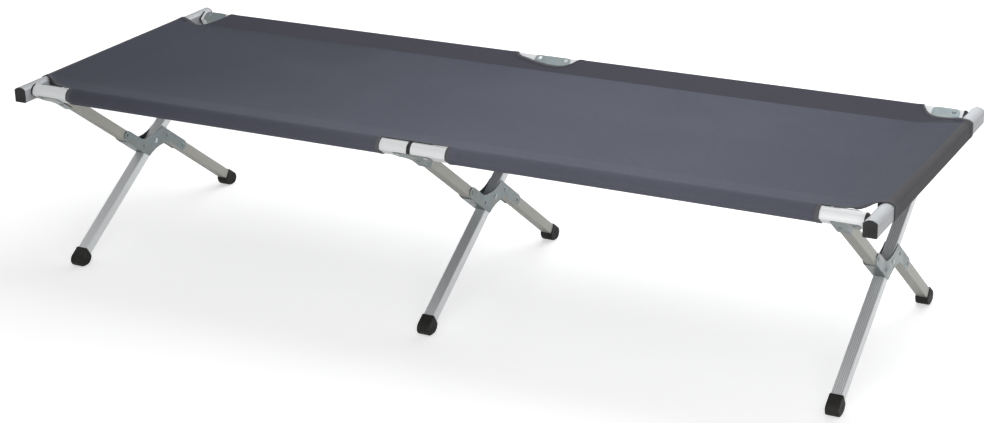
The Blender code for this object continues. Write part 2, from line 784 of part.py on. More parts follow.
def web_strip(reach, sign):
    """Section of the folded edge between the cheeks: down the leg, round the bend and under the rail."""
    outer = [(sign * (LEG_WIDTH / 2 + CLEARANCE + CHEEK_SHEET), -TONGUE_LENGTH)]
    outer += tongue_fillet(reach, sign) if sign > 0 else tongue_fillet(reach, sign)[::-1]
    low = -RAIL_DEPTH / 2 - CLEARANCE - CHEEK_SHEET
    outer.append((sign * (reach - CHEEK_CORNER), low))
    inner = []
    for before, spot, after in zip([outer[0]] + outer, outer, outer[1:] + [outer[-1]]):
        run = Vector(after) - Vector(before)
        side = Vector((-run.y, run.x)).normalized() * sign
        inner.append(tuple(Vector(spot) + side * CHEEK_SHEET))
    return outer + inner[::-1]


def make_top_bracket(side_name, frame):
    side = SIDES[side_name]
    x = FRAMES[frame]
    left, right = wing_reaches(frame)
    name = f"{side_name}_{frame}_top_bracket"
    offset = RAIL_WIDTH / 2 + CLEARANCE + CHEEK_SHEET / 2
    outline = cheek_outline(left, right)
    bracket = extruded(name, [outline], CHEEK_SHEET, cheek_frame(side, x, -offset))
    other = extruded(name + "_cheek", [outline], CHEEK_SHEET, cheek_frame(side, x, offset))
    combine(bracket, other, "UNION")
    for reach, sign in ((left, -1), (right, 1)):
        if reach > LEG_WIDTH:
            section = [web_strip(reach, sign)]
            strip = extruded(f"{name}_web_{sign}", section, 2 * offset, cheek_frame(side, x))
            combine(bracket, strip, "UNION")
    across = cheek_frame(side, x).to_3x3() @ Vector((0, 0, 1))
    grip = 2 * offset + CHEEK_SHEET - 2 * RIVET_SEAT
    spots = [leg_rivet(side, frame)]
    if is_middle(frame):
        pivots = wing_rivets(side, frame)
        combine(bracket, holes(name + "_hinge_holes", pivots, across, RIVET_HOLE, 2 * RAIL_WIDTH))
    else:
        spots += wing_rivets(side, frame)

    def rivets(work):
        for spot in spots:
            add_rivet(work, spot, across, grip)

    combine(bracket, mesh_from(name + "_rivets", rivets), "UNION")
    finish(bracket, zinc_steel, side_parent(side))


def make_hinge_rivets(side_name):
    """The rivets on which each half rail turns in the middle bracket once the end bars are off."""
    side = SIDES[side_name]
    across = cheek_frame(side, 0).to_3x3() @ Vector((0, 0, 1))
    grip = RAIL_WIDTH + 2 * (2 * CLEARANCE + CHEEK_SHEET)
    for end_name, spot in zip(ENDS, wing_rivets(side, "middle")):
        rivet = mesh_from(f"{side_name}_{end_name}_hinge_rivet", add_rivet, spot, across, grip)
        finish(rivet, rivet_steel, side_parent(side))


for side_name in SIDES:
    make_hinge_rivets(side_name)
    for frame in FRAMES:
        make_top_bracket(side_name, frame)


# Fabric

def make_sleeve(side_name, end_name):
    side = SIDES[side_name]
    sign = ENDS[end_name]
    low, high = OPENINGS[side_name]
    start = -low if sign < 0 else high
    length = SLEEVE_ENDS[side_name] - start
    middle = sign * (SLEEVE_ENDS[side_name] + start) / 2
    loops = [rail_section(-SLEEVE_OUTSET), rail_section(-CLEARANCE)]
    sleeve = extruded(f"{side_name}_{end_name}_sleeve", loops, length, section_frame(side, middle))
    finish(sleeve, fabric, side_parent(side))


def make_pocket(end_name):
    loops = [bar_section(-SLEEVE_OUTSET), bar_section(-CLEARANCE)]
    x = ENDS[end_name] * BAR_CENTRE_X
    pocket = extruded(end_name + "_end_pocket", loops, WIDTH - 2 * POCKET_INSET, bar_frame(x, 0))
    finish(pocket, fabric, bar_axes[end_name])


def deck_edge_y():
    """Where the deck's underside comes down to the sleeve, by the upper shoulder of the near rail."""
    up = leg_direction(-1)
    inward = up.cross(Vector((1, 0, 0)))
    shoulder = rail_point(-1, 0) + up * (RAIL_DEPTH / 2 - RAIL_DOME)
    face = shoulder + inward * (RAIL_WIDTH / 2 + SLEEVE_OUTSET + CLEARANCE)
    underside = DECK_EDGE_HEIGHT - DECK_THICKNESS
    return -(face.y + (face.z - underside) / (up.z / -up.y))


def corner_cutter():
    """The piece cut from each corner of the deck, with a hollow corner towards the cot's middle."""
    loops = []
    cut_y = RAIL_SPACING / 2 - CORNER_CUT_INSET
    for side_name, sy in SIDES.items():
        start = SLEEVE_ENDS[side_name] + CORNER_CUT_OVERHANG
        centre = (start + CORNER_CUT_RADIUS, cut_y + CORNER_CUT_RADIUS)
        inner = arc(centre, CORNER_CUT_RADIUS, pi, 1.5 * pi)
        outline = inner + [(LENGTH, cut_y), (LENGTH, WIDTH), (start, WIDTH)]
        for sx in ENDS.values():
            turned = [(sx * x, sy * y) for x, y in outline]
            loops.append(turned if sx * sy > 0 else turned[::-1])
    plane = frame_from((0, 0, DECK_EDGE_HEIGHT), (1, 0, 0), (0, 1, 0))
    return extruded("deck_corner_cutter", loops, RAIL_HEIGHT / 2, plane)


def opening_cutter():
    """The notches at the middle brackets, one over each rail."""
    loops = []
    for side_name, side in SIDES.items():
        low, high = OPENINGS[side_name]
        near = side * (RAIL_SPACING / 2 - OPENING_CUT_INSET)
        far = side * WIDTH / 2
        loops.append([(low, near), (high, near), (high, far), (low, far)][::side])
    plane = frame_from((0, 0, DECK_EDGE_HEIGHT), (1, 0, 0), (0, 1, 0))
    return extruded("deck_opening_cutter", loops, RAIL_HEIGHT / 2, plane)


def make_deck():
    """A sheet that sags between the rails, and runs to the sleeves and over the pockets."""
    half_y = deck_edge_y()
    pocket_top = BAR_HEIGHT + BAR_DEPTH / 2 + SLEEVE_OUTSET
    end_rise = pocket_top + CLEARANCE + DECK_THICKNESS - DECK_EDGE_HEIGHT

    def build(work):
        cells_x, cells_y = DECK_CELLS
        bmesh.ops.create_grid(work, x_segments=cells_x, y_segments=cells_y, size=1)
        for vert in work.verts:
            u, v = vert.co.x, vert.co.y
            sag = DECK_SAG * (1 - u ** END_SAG_POWER) * (1 - v ** 2)
            height = DECK_EDGE_HEIGHT + end_rise * u ** END_RISE_POWER - sag
            vert.co = (u * BAR_CENTRE_X, v * half_y, height)

    deck = mesh_from("fabric_deck", build)
    if deck.data.polygons[0].normal.z < 0:
        deck.data.flip_normals()
    solidify = deck.modifiers.new("cloth", "SOLIDIFY")
    solidify.thickness = DECK_THICKNESS
    solidify.offset = -1
    combine(deck, corner_cutter())
    combine(deck, opening_cutter())
    finish(deck, fabric)


for side_name in SIDES:
    for end_name in ENDS:
        make_sleeve(side_name, end_name)
for end_name in ENDS:
    make_pocket(end_name)
make_deck()
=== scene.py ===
import math

import bmesh
import bpy
from mathutils import Matrix, Vector, noise


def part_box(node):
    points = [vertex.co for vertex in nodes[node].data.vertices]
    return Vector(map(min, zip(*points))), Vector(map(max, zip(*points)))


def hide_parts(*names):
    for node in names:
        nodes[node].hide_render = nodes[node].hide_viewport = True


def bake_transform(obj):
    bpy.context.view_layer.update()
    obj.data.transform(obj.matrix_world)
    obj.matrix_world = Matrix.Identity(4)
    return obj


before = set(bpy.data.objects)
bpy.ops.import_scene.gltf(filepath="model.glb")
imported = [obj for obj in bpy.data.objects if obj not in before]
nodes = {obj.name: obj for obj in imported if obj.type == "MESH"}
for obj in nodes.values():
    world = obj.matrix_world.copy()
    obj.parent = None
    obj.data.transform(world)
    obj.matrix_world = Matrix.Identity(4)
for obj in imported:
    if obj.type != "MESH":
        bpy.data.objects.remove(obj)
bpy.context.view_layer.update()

# Folding camping cot: the sewn bed is made here, the metal, plastic and rubber pieces come from the frame.
# Lengths are in metres. X runs along the cot, Y from the near side to the far side, Z up from the floor.

sides = {"near": -1, "far": 1}
ends = {"left": -1, "right": 1}
print("cot frame loaded with", len(nodes), "pieces")


# Camera

cameraSettings = {
    "place": (1.9391, -3.6670, 1.7469),
    "azimuth": 0.48040,  # radians round from the cot's near side
    "elevation": 0.36455,
    "roll": -0.01769,
    "lens": 75.64,
    "sensor": 36.0,
}


def placeCamera(settings):
    azimuth = settings["azimuth"]
    elevation = settings["elevation"]
    roll = settings["roll"]
    back = Vector((
        math.sin(azimuth) * math.cos(elevation),
        -math.cos(azimuth) * math.cos(elevation),
        math.sin(elevation),
    ))
    right = (-back).cross(Vector((0, 0, 1))).normalized()
    up = right.cross(-back)
    rolledRight = right * math.cos(roll) + up * math.sin(roll)
    rolledUp = up * math.cos(roll) - right * math.sin(roll)
    turn = Matrix((rolledRight, rolledUp, back)).transposed().to_4x4()
    turn.translation = Vector(settings["place"])
    data = bpy.data.cameras.new("photo_camera")
    data.lens = settings["lens"]
    data.sensor_width = settings["sensor"]
    camera = bpy.data.objects.new("photo_camera", data)
    camera.matrix_world = turn
    bpy.context.scene.collection.objects.link(camera)
    bpy.context.scene.camera = camera


placeCamera(cameraSettings)
print("camera placed")


# Shader helpers

def addNode(tree, kind, **settings):
    node = tree.nodes.new(kind)
    for name, value in settings.items():
        setattr(node, name, value)
    return node


def feed(tree, socket, value):
    # joins an output to a socket, or sets the socket where a plain value is given
    if isinstance(value, bpy.types.NodeSocket):
        tree.links.new(value, socket)
    elif isinstance(value, (tuple, list)) and len(value) == 3 and socket.type == "RGBA":
        socket.default_value = (*value, 1)
    else:
        socket.default_value = value


def calculate(tree, operation, *values):
    node = addNode(tree, "ShaderNodeMath", operation=operation)
    for socket, value in zip(node.inputs, values):
        feed(tree, socket, value)
    return node.outputs[0]


def remap(tree, value, low, high, outLow=0.0, outHigh=1.0):
    node = addNode(tree, "ShaderNodeMapRange")
    for name, number in (("From Min", low), ("From Max", high), ("To Min", outLow), ("To Max", outHigh)):
        node.inputs[name].default_value = number
    feed(tree, node.inputs["Value"], value)
    return node.outputs["Result"]


def mixColours(tree, share, first, second):
    node = addNode(tree, "ShaderNodeMix", data_type="RGBA")
    feed(tree, node.inputs[0], share)
    feed(tree, node.inputs[6], first)
    feed(tree, node.inputs[7], second)
    return node.outputs[2]


def grainNoise(tree, vector, scale, detail=2.0, roughness=0.5):
    node = addNode(tree, "ShaderNodeTexNoise")
    feed(tree, node.inputs["Vector"], vector)
    node.inputs["Scale"].default_value = scale
    node.inputs["Detail"].default_value = detail
    node.inputs["Roughness"].default_value = roughness
    return node.outputs["Fac"]


def stretched(tree, vector, scale=(1, 1, 1), rotation=(0, 0, 0)):
    node = addNode(tree, "ShaderNodeMapping")
    feed(tree, node.inputs["Vector"], vector)
    node.inputs["Rotation"].default_value = rotation
    node.inputs["Scale"].default_value = scale
    return node.outputs["Vector"]


def apart(tree, vector):
    node = addNode(tree, "ShaderNodeSeparateXYZ")
    tree.links.new(vector, node.inputs["Vector"])
    return node.outputs


def offLine(tree, value, line):
    return calculate(tree, "ABSOLUTE", calculate(tree, "SUBTRACT", value, line))


def offMiddle(tree, turns):
    # how far each turn of a repeat is from that repeat's middle
    return offLine(tree, calculate(tree, "FRACT", turns), 0.5)


def newGroup(name, inputs, outputs):
    tree = bpy.data.node_groups.new(name, "ShaderNodeTree")
    for socketName, kind, default in inputs:
        socket = tree.interface.new_socket(name=socketName, in_out="INPUT", socket_type=kind)
        if default is not None:
            socket.default_value = default
    for socketName, kind in outputs:
        tree.interface.new_socket(name=socketName, in_out="OUTPUT", socket_type=kind)
    return tree, tree.nodes.new("NodeGroupInput"), tree.nodes.new("NodeGroupOutput")


def useGroup(tree, group, **values):
    # an input's name is given without its spaces
    node = addNode(tree, "ShaderNodeGroup")
    node.node_tree = group
    for socket in node.inputs:
        key = socket.name.replace(" ", "")
        if key in values:
            feed(tree, socket, values[key])
    return node


def newFinish(name):
    material = bpy.data.materials.new(name)
    material.use_nodes = True
    tree = material.node_tree
    return material, tree, tree.nodes["Principled BSDF"]


def objectPlace(tree):
    return addNode(tree, "ShaderNodeTexCoord").outputs["Object"]


def addBump(tree, shader, height, strength, distance):
    bump = addNode(tree, "ShaderNodeBump")
    feed(tree, bump.inputs["Height"], height)
    bump.inputs["Strength"].default_value = strength
    bump.inputs["Distance"].default_value = distance
    tree.links.new(bump.outputs["Normal"], shader.inputs["Normal"])


def smearRoughness(tree, shader, smears, roughness):
    # roughness is (clean, smeared)
    rough = remap(tree, smears.outputs["Smears"], 0.0, 1.0, *roughness)
    tree.links.new(rough, shader.inputs["Roughness"])


# Effects that several finishes share
# A noise is (scale, detail, roughness). A range is (low, high), or (low, high, first, last), which gives
# first at low and last at high.

wearSettings = {
    "bevelSamples": 4,
    "parting": (0.995, 0.90),  # the two normals' product, where wear starts and where it is full
    "patchNoise": (140.0, 3.0, 0.6),
    "patches": (0.38, 0.62),
}


def makeEdgeWear(settings):
    # where a rounded normal parts from the true one there is an edge, and handling rubs it
    tree, start, end = newGroup(
        "edge_wear",
        [("Radius", "NodeSocketFloat", 0.0015), ("Place", "NodeSocketVector", None)],
        [("Mask", "NodeSocketFloat")],
    )
    bevel = addNode(tree, "ShaderNodeBevel", samples=settings["bevelSamples"])
    tree.links.new(start.outputs["Radius"], bevel.inputs["Radius"])
    geometry = addNode(tree, "ShaderNodeNewGeometry")
    dot = addNode(tree, "ShaderNodeVectorMath", operation="DOT_PRODUCT")
    tree.links.new(bevel.outputs["Normal"], dot.inputs[0])
    tree.links.new(geometry.outputs["Normal"], dot.inputs[1])
    edge = remap(tree, dot.outputs["Value"], *settings["parting"])
    patches = grainNoise(tree, start.outputs["Place"], *settings["patchNoise"])
    worn = calculate(tree, "MULTIPLY", edge, remap(tree, patches, *settings["patches"]))
    tree.links.new(worn, end.inputs["Mask"])
    return tree


grainSettings = {
    "Lines": {"stretch": (6.0, 1400.0, 1400.0), "noise": (1.0, 3.0, 0.6)},
    "Drift": {"stretch": (5.0, 60.0, 60.0), "noise": (1.0, 2.0, 0.5)},
}


def makeDrawnGrain(settings):
    # fine lines that the die leaves along an extruded tube, and slow changes of brightness
    tree, start, end = newGroup(
        "drawn_grain",
        [("Along", "NodeSocketVector", None)],
        [("Lines", "NodeSocketFloat"), ("Drift", "NodeSocketFloat")],
    )
    for name, grain in settings.items():
        drawn = stretched(tree, start.outputs["Along"], grain["stretch"])
        tree.links.new(grainNoise(tree, drawn, *grain["noise"]), end.inputs[name])
    return tree


handlingSettings = {
    "smearNoise": {"Detail": 4.0, "Roughness": 0.62, "Distortion": 0.4},
    "smears": (0.35, 0.68),
    "speckScale": 260.0,
    "specks": (0.16, 0.08),
}


def makeHandling(settings):
    # smears and dust: soft patches and small specks
    tree, start, end = newGroup(
        "handling",
        [("Place", "NodeSocketVector", None), ("Size", "NodeSocketFloat", 14.0)],
        [("Smears", "NodeSocketFloat"), ("Specks", "NodeSocketFloat")],
    )
    smears = addNode(tree, "ShaderNodeTexNoise")
    for name, value in settings["smearNoise"].items():
        smears.inputs[name].default_value = value
    tree.links.new(start.outputs["Place"], smears.inputs["Vector"])
    tree.links.new(start.outputs["Size"], smears.inputs["Scale"])
    tree.links.new(remap(tree, smears.outputs["Fac"], *settings["smears"]), end.inputs["Smears"])
    specks = addNode(tree, "ShaderNodeTexVoronoi")
    specks.inputs["Scale"].default_value = settings["speckScale"]
    tree.links.new(start.outputs["Place"], specks.inputs["Vector"])
    tree.links.new(remap(tree, specks.outputs["Distance"], *settings["specks"]), end.inputs["Specks"])
    return tree


def makeMouldedSkin():
    # the fine texture of a mould's wall
    tree, start, end = newGroup(
        "moulded_skin",
        [("Place", "NodeSocketVector", None), ("Fineness", "NodeSocketFloat", 900.0)],
        [("Height", "NodeSocketFloat")],
    )
    skin = addNode(tree, "ShaderNodeTexNoise")
    skin.inputs["Detail"].default_value = 3.0
    tree.links.new(start.outputs["Place"], skin.inputs["Vector"])
    tree.links.new(start.outputs["Fineness"], skin.inputs["Scale"])
    tree.links.new(skin.outputs["Fac"], end.inputs["Height"])
    return tree


weaveSettings = {
    "yarnStretch": [(40.0, 1500.0, 1.0), (1500.0, 40.0, 1.0)],  # warp and weft
    "yarnNoise": (1.0, 2.0, 0.6),
}


def makeWeave(settings):
    # plain weave: two sets of yarns that pass over and under each other, from flat cloth coordinates
    tree, start, end = newGroup(
        "plain_weave",
        [("Flat Place", "NodeSocketVector", None), ("Yarns", "NodeSocketFloat", 1500.0)],
        [("Height", "NodeSocketFloat"), ("Yarn Tone", "NodeSocketFloat")],
    )
    parts = apart(tree, start.outputs["Flat Place"])
    waves = []
    for axis in ("X", "Y"):
        turns = calculate(tree, "MULTIPLY", parts[axis], start.outputs["Yarns"])
        waves.append(calculate(tree, "SINE", calculate(tree, "MULTIPLY", turns, math.tau)))
    crossing = calculate(tree, "MULTIPLY", *waves)
    tree.links.new(remap(tree, crossing, -1.0, 1.0), end.inputs["Height"])
    tones = []
    for stretch in settings["yarnStretch"]:
        yarns = stretched(tree, start.outputs["Flat Place"], stretch)
        tones.append(grainNoise(tree, yarns, *settings["yarnNoise"]))
    tone = calculate(tree, "MULTIPLY", calculate(tree, "ADD", *tones), 0.5)
    tree.links.new(tone, end.inputs["Yarn Tone"])
    return tree


stitchSettings = {
    "threadEnd": (0.42, 0.34),  # share of the pitch, from a thread's middle to where it dives
    "threadSide": (0.00042, 0.00028),
    "threadRise": 0.5,  # against how far it draws the cloth down
    "pullWidth": 0.0022,
}


def makeStitchRow(settings):
    # a lockstitch line: short threads one after another, a little sunk between them
    tree, start, end = newGroup(
        "stitch_row",
        [
            ("Along", "NodeSocketFloat", 0.0),
            ("Across", "NodeSocketFloat", 0.0),
            ("Line", "NodeSocketFloat", 0.0),
            ("Pitch", "NodeSocketFloat", 0.0034),
        ],
        [("Thread", "NodeSocketFloat"), ("Height", "NodeSocketFloat")],
    )
    off = offLine(tree, start.outputs["Across"], start.outputs["Line"])
    turns = calculate(tree, "DIVIDE", start.outputs["Along"], start.outputs["Pitch"])
    laid = remap(tree, offMiddle(tree, turns), *settings["threadEnd"])
    thread = calculate(tree, "MULTIPLY", remap(tree, off, *settings["threadSide"]), laid)
    tree.links.new(thread, end.inputs["Thread"])
    raised = calculate(tree, "MULTIPLY", thread, settings["threadRise"])
    pull = remap(tree, off, settings["pullWidth"], 0.0)
    tree.links.new(calculate(tree, "SUBTRACT", raised, pull), end.inputs["Height"])
    return tree


edgeWear = makeEdgeWear(wearSettings)
drawnGrain = makeDrawnGrain(grainSettings)
handling = makeHandling(handlingSettings)
mouldedSkin = makeMouldedSkin()
plainWeave = makeWeave(weaveSettings)
stitchRow = makeStitchRow(stitchSettings)
print("shared effects made")


# Finishes of the tubes

tubeSettings = {
    "anodised_rail": {
        "colour": (0.68, 0.69, 0.70),
        "shade": (0.61, 0.62, 0.63),
        "worn": (0.78, 0.78, 0.78),
        "roughness": (0.54, 0.66),
        "metallic": 0.36,
        "lines": 0.05,
    },
    "end_bar_metal": {
        "colour": (0.42, 0.43, 0.445),
        "shade": (0.37, 0.38, 0.395),
        "worn": (0.70, 0.70, 0.71),
        "roughness": (0.54, 0.66),
        "metallic": 0.50,
        "slope": 0.0,  # for a tube that runs across the cot: radians above the floor, towards the far side
        "lines": 0.05,
    },
    "straight_leg_metal": {
        "colour": (0.70, 0.715, 0.725),
        "shade": (0.61, 0.625, 0.635),
        "groove": (0.34, 0.345, 0.35),
        "worn": (0.78, 0.78, 0.78),
        "roughness": (0.36, 0.52),
        "metallic": 0.55,
        "slope": 0.5706,
        "lines": 0.10,
    },
    "bent_leg_metal": {
        "colour": (0.35, 0.345, 0.315),
        "shade": (0.305, 0.30, 0.275),
        "groove": (0.13, 0.13, 0.12),
        "worn": (0.72, 0.72, 0.70),
        "roughness": (0.38, 0.54),
        "metallic": 0.60,
        "slope": -0.6420,
        "lines": 0.10,
    },
}
# What all the tubes have alike
tubeSurface = {
    "smearSize": 18.0,
    "smearShare": 0.25,
    "wearRadius": 0.0012,
    "wearShare": 0.5,
    "lineRange": (0.3, 0.7),
    "lineDepth": 0.0002,
    "speckRoughness": 0.12,
}
# Painted shade in the legs' grooves, five on each face that looks up or down
grooveShadeSettings = {
    "pitch": 0.0038,
    "halfWidth": 0.21,  # share of the pitch
    "blur": 0.04,
    "reach": 0.0088,  # from a leg's middle line to the side of its last groove
    "fade": 0.0002,
    "strength": 0.75,
}
frameLines = [
    sum(c[0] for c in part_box(f"{where}_straight_leg")) / 2
    for where in ("left", "middle", "right")
]


# where shade is painted into the legs' grooves
def grooveShadeMask(tree, place, settings):
    x = apart(tree, place)["X"]
    off = offLine(tree, x, frameLines[0])
    for line in frameLines[1:]:
        off = calculate(tree, "MINIMUM", off, offLine(tree, x, line))
    turns = calculate(tree, "ADD", calculate(tree, "DIVIDE", off, settings["pitch"]), 0.5)
    wide = settings["halfWidth"] + settings["blur"]
    narrow = settings["halfWidth"] - settings["blur"]
    shadeInGroove = remap(tree, offMiddle(tree, turns), wide, narrow, 0.0, settings["strength"])
    onFace = remap(tree, off, settings["reach"] + settings["fade"], settings["reach"])
    return calculate(tree, "MULTIPLY", shadeInGroove, onFace)


def makeTubeFinish(name, settings, surface):
    material, tree, shader = newFinish(name)
    place = objectPlace(tree)
    along = place
    if "slope" in settings:
        # turns the tube's own length onto X, because the grain runs along X
        tipped = stretched(tree, place, rotation=(-settings["slope"], 0, 0))
        along = stretched(tree, tipped, rotation=(0, 0, -math.pi / 2))
    grain = useGroup(tree, drawnGrain, Along=along)
    smears = useGroup(tree, handling, Place=place, Size=surface["smearSize"])
    wear = useGroup(tree, edgeWear, Place=place, Radius=surface["wearRadius"])
    colour = mixColours(tree, grain.outputs["Drift"], settings["shade"], settings["colour"])
    smeared = calculate(tree, "MULTIPLY", smears.outputs["Smears"], surface["smearShare"])
    colour = mixColours(tree, smeared, colour, settings["shade"])
    worn = calculate(tree, "MULTIPLY", wear.outputs["Mask"], surface["wearShare"])
    colour = mixColours(tree, worn, colour, settings["worn"])
    # painted shade darkens the grooves
    if "groove" in settings:
        colour = mixColours(tree, grooveShadeMask(tree, place, grooveShadeSettings), colour, settings["groove"])
    tree.links.new(colour, shader.inputs["Base Color"])
    lined = remap(tree, grain.outputs["Lines"], *surface["lineRange"], *settings["roughness"])
    dusty = calculate(tree, "MULTIPLY", smears.outputs["Specks"], surface["speckRoughness"])
    tree.links.new(calculate(tree, "ADD", lined, dusty), shader.inputs["Roughness"])
    shader.inputs["Metallic"].default_value = settings["metallic"]
    addBump(tree, shader, grain.outputs["Lines"], settings["lines"], surface["lineDepth"])
    return material


# Finishes of the brackets, rivets and pegs

zincSettings = {
    "colour": (0.170, 0.190, 0.184),
    "blue": (0.162, 0.194, 0.204),
    "straw": (0.222, 0.222, 0.190),
    "worn": (0.50, 0.52, 0.52),
    "roughness": (0.26, 0.46),
    "metallic": 0.9,
    "smearSize": 30.0,
    "wearRadius": 0.0009,
    "wearShare": 0.7,
    "cloudNoise": (38.0, 4.0, 0.55),
    "clouds": (0.42, 0.60),
    "fleckNoise": (85.0, 3.0, 0.5),
    "flecks": (0.58, 0.72, 0.0, 0.45),
    "skinNoise": (420.0, 2.0),
    "bump": (0.08, 0.0003),  # strength and depth
}


def makeZinc(name, settings):
    material, tree, shader = newFinish(name)
    place = objectPlace(tree)
    smears = useGroup(tree, handling, Place=place, Size=settings["smearSize"])
    wear = useGroup(tree, edgeWear, Place=place, Radius=settings["wearRadius"])
    clouds = remap(tree, grainNoise(tree, place, *settings["cloudNoise"]), *settings["clouds"])
    tint = mixColours(tree, clouds, settings["colour"], settings["blue"])
    flecks = remap(tree, grainNoise(tree, place, *settings["fleckNoise"]), *settings["flecks"])
    tint = mixColours(tree, flecks, tint, settings["straw"])
    worn = calculate(tree, "MULTIPLY", wear.outputs["Mask"], settings["wearShare"])
    tint = mixColours(tree, worn, tint, settings["worn"])
    tree.links.new(tint, shader.inputs["Base Color"])
    smearRoughness(tree, shader, smears, settings["roughness"])
    shader.inputs["Metallic"].default_value = settings["metallic"]
    addBump(tree, shader, grainNoise(tree, place, *settings["skinNoise"]), *settings["bump"])
    return material


rivetSettings = {
    "colour": (0.52, 0.54, 0.54),
    "dull": (0.34, 0.36, 0.37),
    "roughness": (0.34, 0.52),
    "smearSize": 90.0,
    "skinNoise": (700.0, 2.0),
    "bump": (0.06, 0.0002),
}


def makeRivetSteel(name, settings):
    material, tree, shader = newFinish(name)
    place = objectPlace(tree)
    smears = useGroup(tree, handling, Place=place, Size=settings["smearSize"])
    tint = mixColours(tree, smears.outputs["Smears"], settings["colour"], settings["dull"])
    tree.links.new(tint, shader.inputs["Base Color"])
    smearRoughness(tree, shader, smears, settings["roughness"])
    shader.inputs["Metallic"].default_value = 1.0
    addBump(tree, shader, grainNoise(tree, place, *settings["skinNoise"]), *settings["bump"])
    return material


# Finishes of the plugs, caps and feet

blackSettings = {
    "black_plastic_moulding": {
        "colour": (0.016, 0.016, 0.017),
        "scuff": (0.060, 0.060, 0.062),
        "roughness": (0.60, 0.42),
        "gloss": 0.20,
        "fineness": 1100.0,
        "bump": (0.10, 0.0003),
    },
    "black_rubber_foot": {
        "colour": (0.012, 0.0115, 0.011),
        "scuff": (0.070, 0.068, 0.065),
        "roughness": (0.74, 0.50),
        "gloss": 0.15,
        "fineness": 700.0,
        "bump": (0.18, 0.0003),
    },
}
blackSurface = {"smearSize": 45.0, "smearShare": 0.16, "wearRadius": 0.0016, "wearShare": 0.45}


def makeBlack(name, settings, surface):
    material, tree, shader = newFinish(name)
    place = objectPlace(tree)
    skin = useGroup(tree, mouldedSkin, Place=place, Fineness=settings["fineness"])
    smears = useGroup(tree, handling, Place=place, Size=surface["smearSize"])
    wear = useGroup(tree, edgeWear, Place=place, Radius=surface["wearRadius"])
    worn = calculate(tree, "MULTIPLY", wear.outputs["Mask"], surface["wearShare"])
    smeared = calculate(tree, "MULTIPLY", smears.outputs["Smears"], surface["smearShare"])
    scuffed = calculate(tree, "MAXIMUM", worn, smeared)
    colour = mixColours(tree, scuffed, settings["colour"], settings["scuff"])
    tree.links.new(colour, shader.inputs["Base Color"])
    smearRoughness(tree, shader, smears, settings["roughness"])
    shader.inputs["Specular IOR Level"].default_value = settings["gloss"]
    addBump(tree, shader, skin.outputs["Height"], *settings["bump"])
    return material


# Finish of the bed's cloth

clothSettings = {
    "colour": (0.114, 0.121, 0.156),
    "light": (0.139, 0.147, 0.185),
    "deep": (0.091, 0.096, 0.126),
    "kept": (0.060, 0.064, 0.084),  # a darker tone: painted shade towards the left end and in the left end's crease, darker towards the right end and the far side, and random patches that have kept more of the first colour
    "thread": (0.034, 0.036, 0.045),
    "sleeve": (0.056, 0.0545, 0.072),  # painted shade on the sleeves round the rails and on the far top band
    "band": (0.100, 0.098, 0.101),  # painted shade on the cloth past a bar's crown
    # the hem's lighter, browner tone, a painted highlight where its fold curves outward
    "hem": (0.120, 0.115, 0.120),
    "yarns": 1450.0,  # a metre
    "yarnTone": (0.36, 0.64),
    "plainShare": 0.45,
    "keptLeft": (-0.95, 0.12, 1.0, 0.0),
    "keptRight": (0.55, 0.93, 0.0, 0.35),
    "keptFar": (-0.26, 0.22, 0.0, 0.40),
    "patchNoise": (5.0, 4.0, 0.55),
    "patches": (0.35, 0.65, 0.0, 0.12),
    "pressedNoise": (26.0, 2.0),
    "pressed": (0.42, 0.62, 0.0, 0.55),
    "pressedWidth": 0.009,
    "seamDrift": 0.013,  # how far out the far seam has run at the left end
    "driftSpan": (0.60, -0.95),
    "seamBlur": 0.0012,
    "nearLaid": (0.020, 0.05, 0.40),  # how far past the rail's crest the painted shade grows, and its mask before and there
    "farLaid": (0.008, 1.0, 0.40),
    "halves": (-0.01, 0.01),  # where the near half's mask gives way to the far one's
    "hemStitch": 0.0085,  # from the free edge to its stitches
    "hemBlur": 0.0008,
    "hemShare": 0.7,
    "cutEdge": (0.0012, 0.0004, 0.0, 0.8),
    "creaseY": -0.078,
    "creaseWidth": 0.006,
    "creaseNoise": (9.0, 2.0),
    "creaseBreaks": (0.52, 0.66),
    "creaseRise": 0.8,
    "weaveRise": 0.30,
    "puckerStretch": (75.0, 9.0, 1.0),
    "puckerNoise": (1.0, 2.0),
    "puckerRise": 2.2,
    "roughness": (0.88, 0.76),
    "bump": (0.55, 0.0006),
    "gloss": 0.08,
    "sheenWeight": 0.04,
    "sheenRoughness": 0.45,
    "sheenTint": (0.80, 0.85, 1.0, 1),
}


def fadeAndShade(tree, x, y, place, settings, seams):
    # how much of the darker tone goes in: painted shade towards the left end, darker towards the right end
    # and the far side, random patches of less fading, and painted shade in one crease
    left = remap(tree, x, *settings["keptLeft"])
    kept = calculate(tree, "MAXIMUM", left, remap(tree, x, *settings["keptRight"]))
    kept = calculate(tree, "ADD", kept, remap(tree, y, *settings["keptFar"]))
    patches = remap(tree, grainNoise(tree, place, *settings["patchNoise"]), *settings["patches"])
    kept = calculate(tree, "ADD", kept, patches)
    # painted shade in the crease where the left end starts to rise to its bar
    rise = offLine(tree, x, -seams["rise"])
    pressed = remap(tree, grainNoise(tree, place, *settings["pressedNoise"]), *settings["pressed"])
    pressed = calculate(tree, "MULTIPLY", remap(tree, rise, settings["pressedWidth"], 0.0), pressed)
    return calculate(tree, "ADD", kept, pressed)


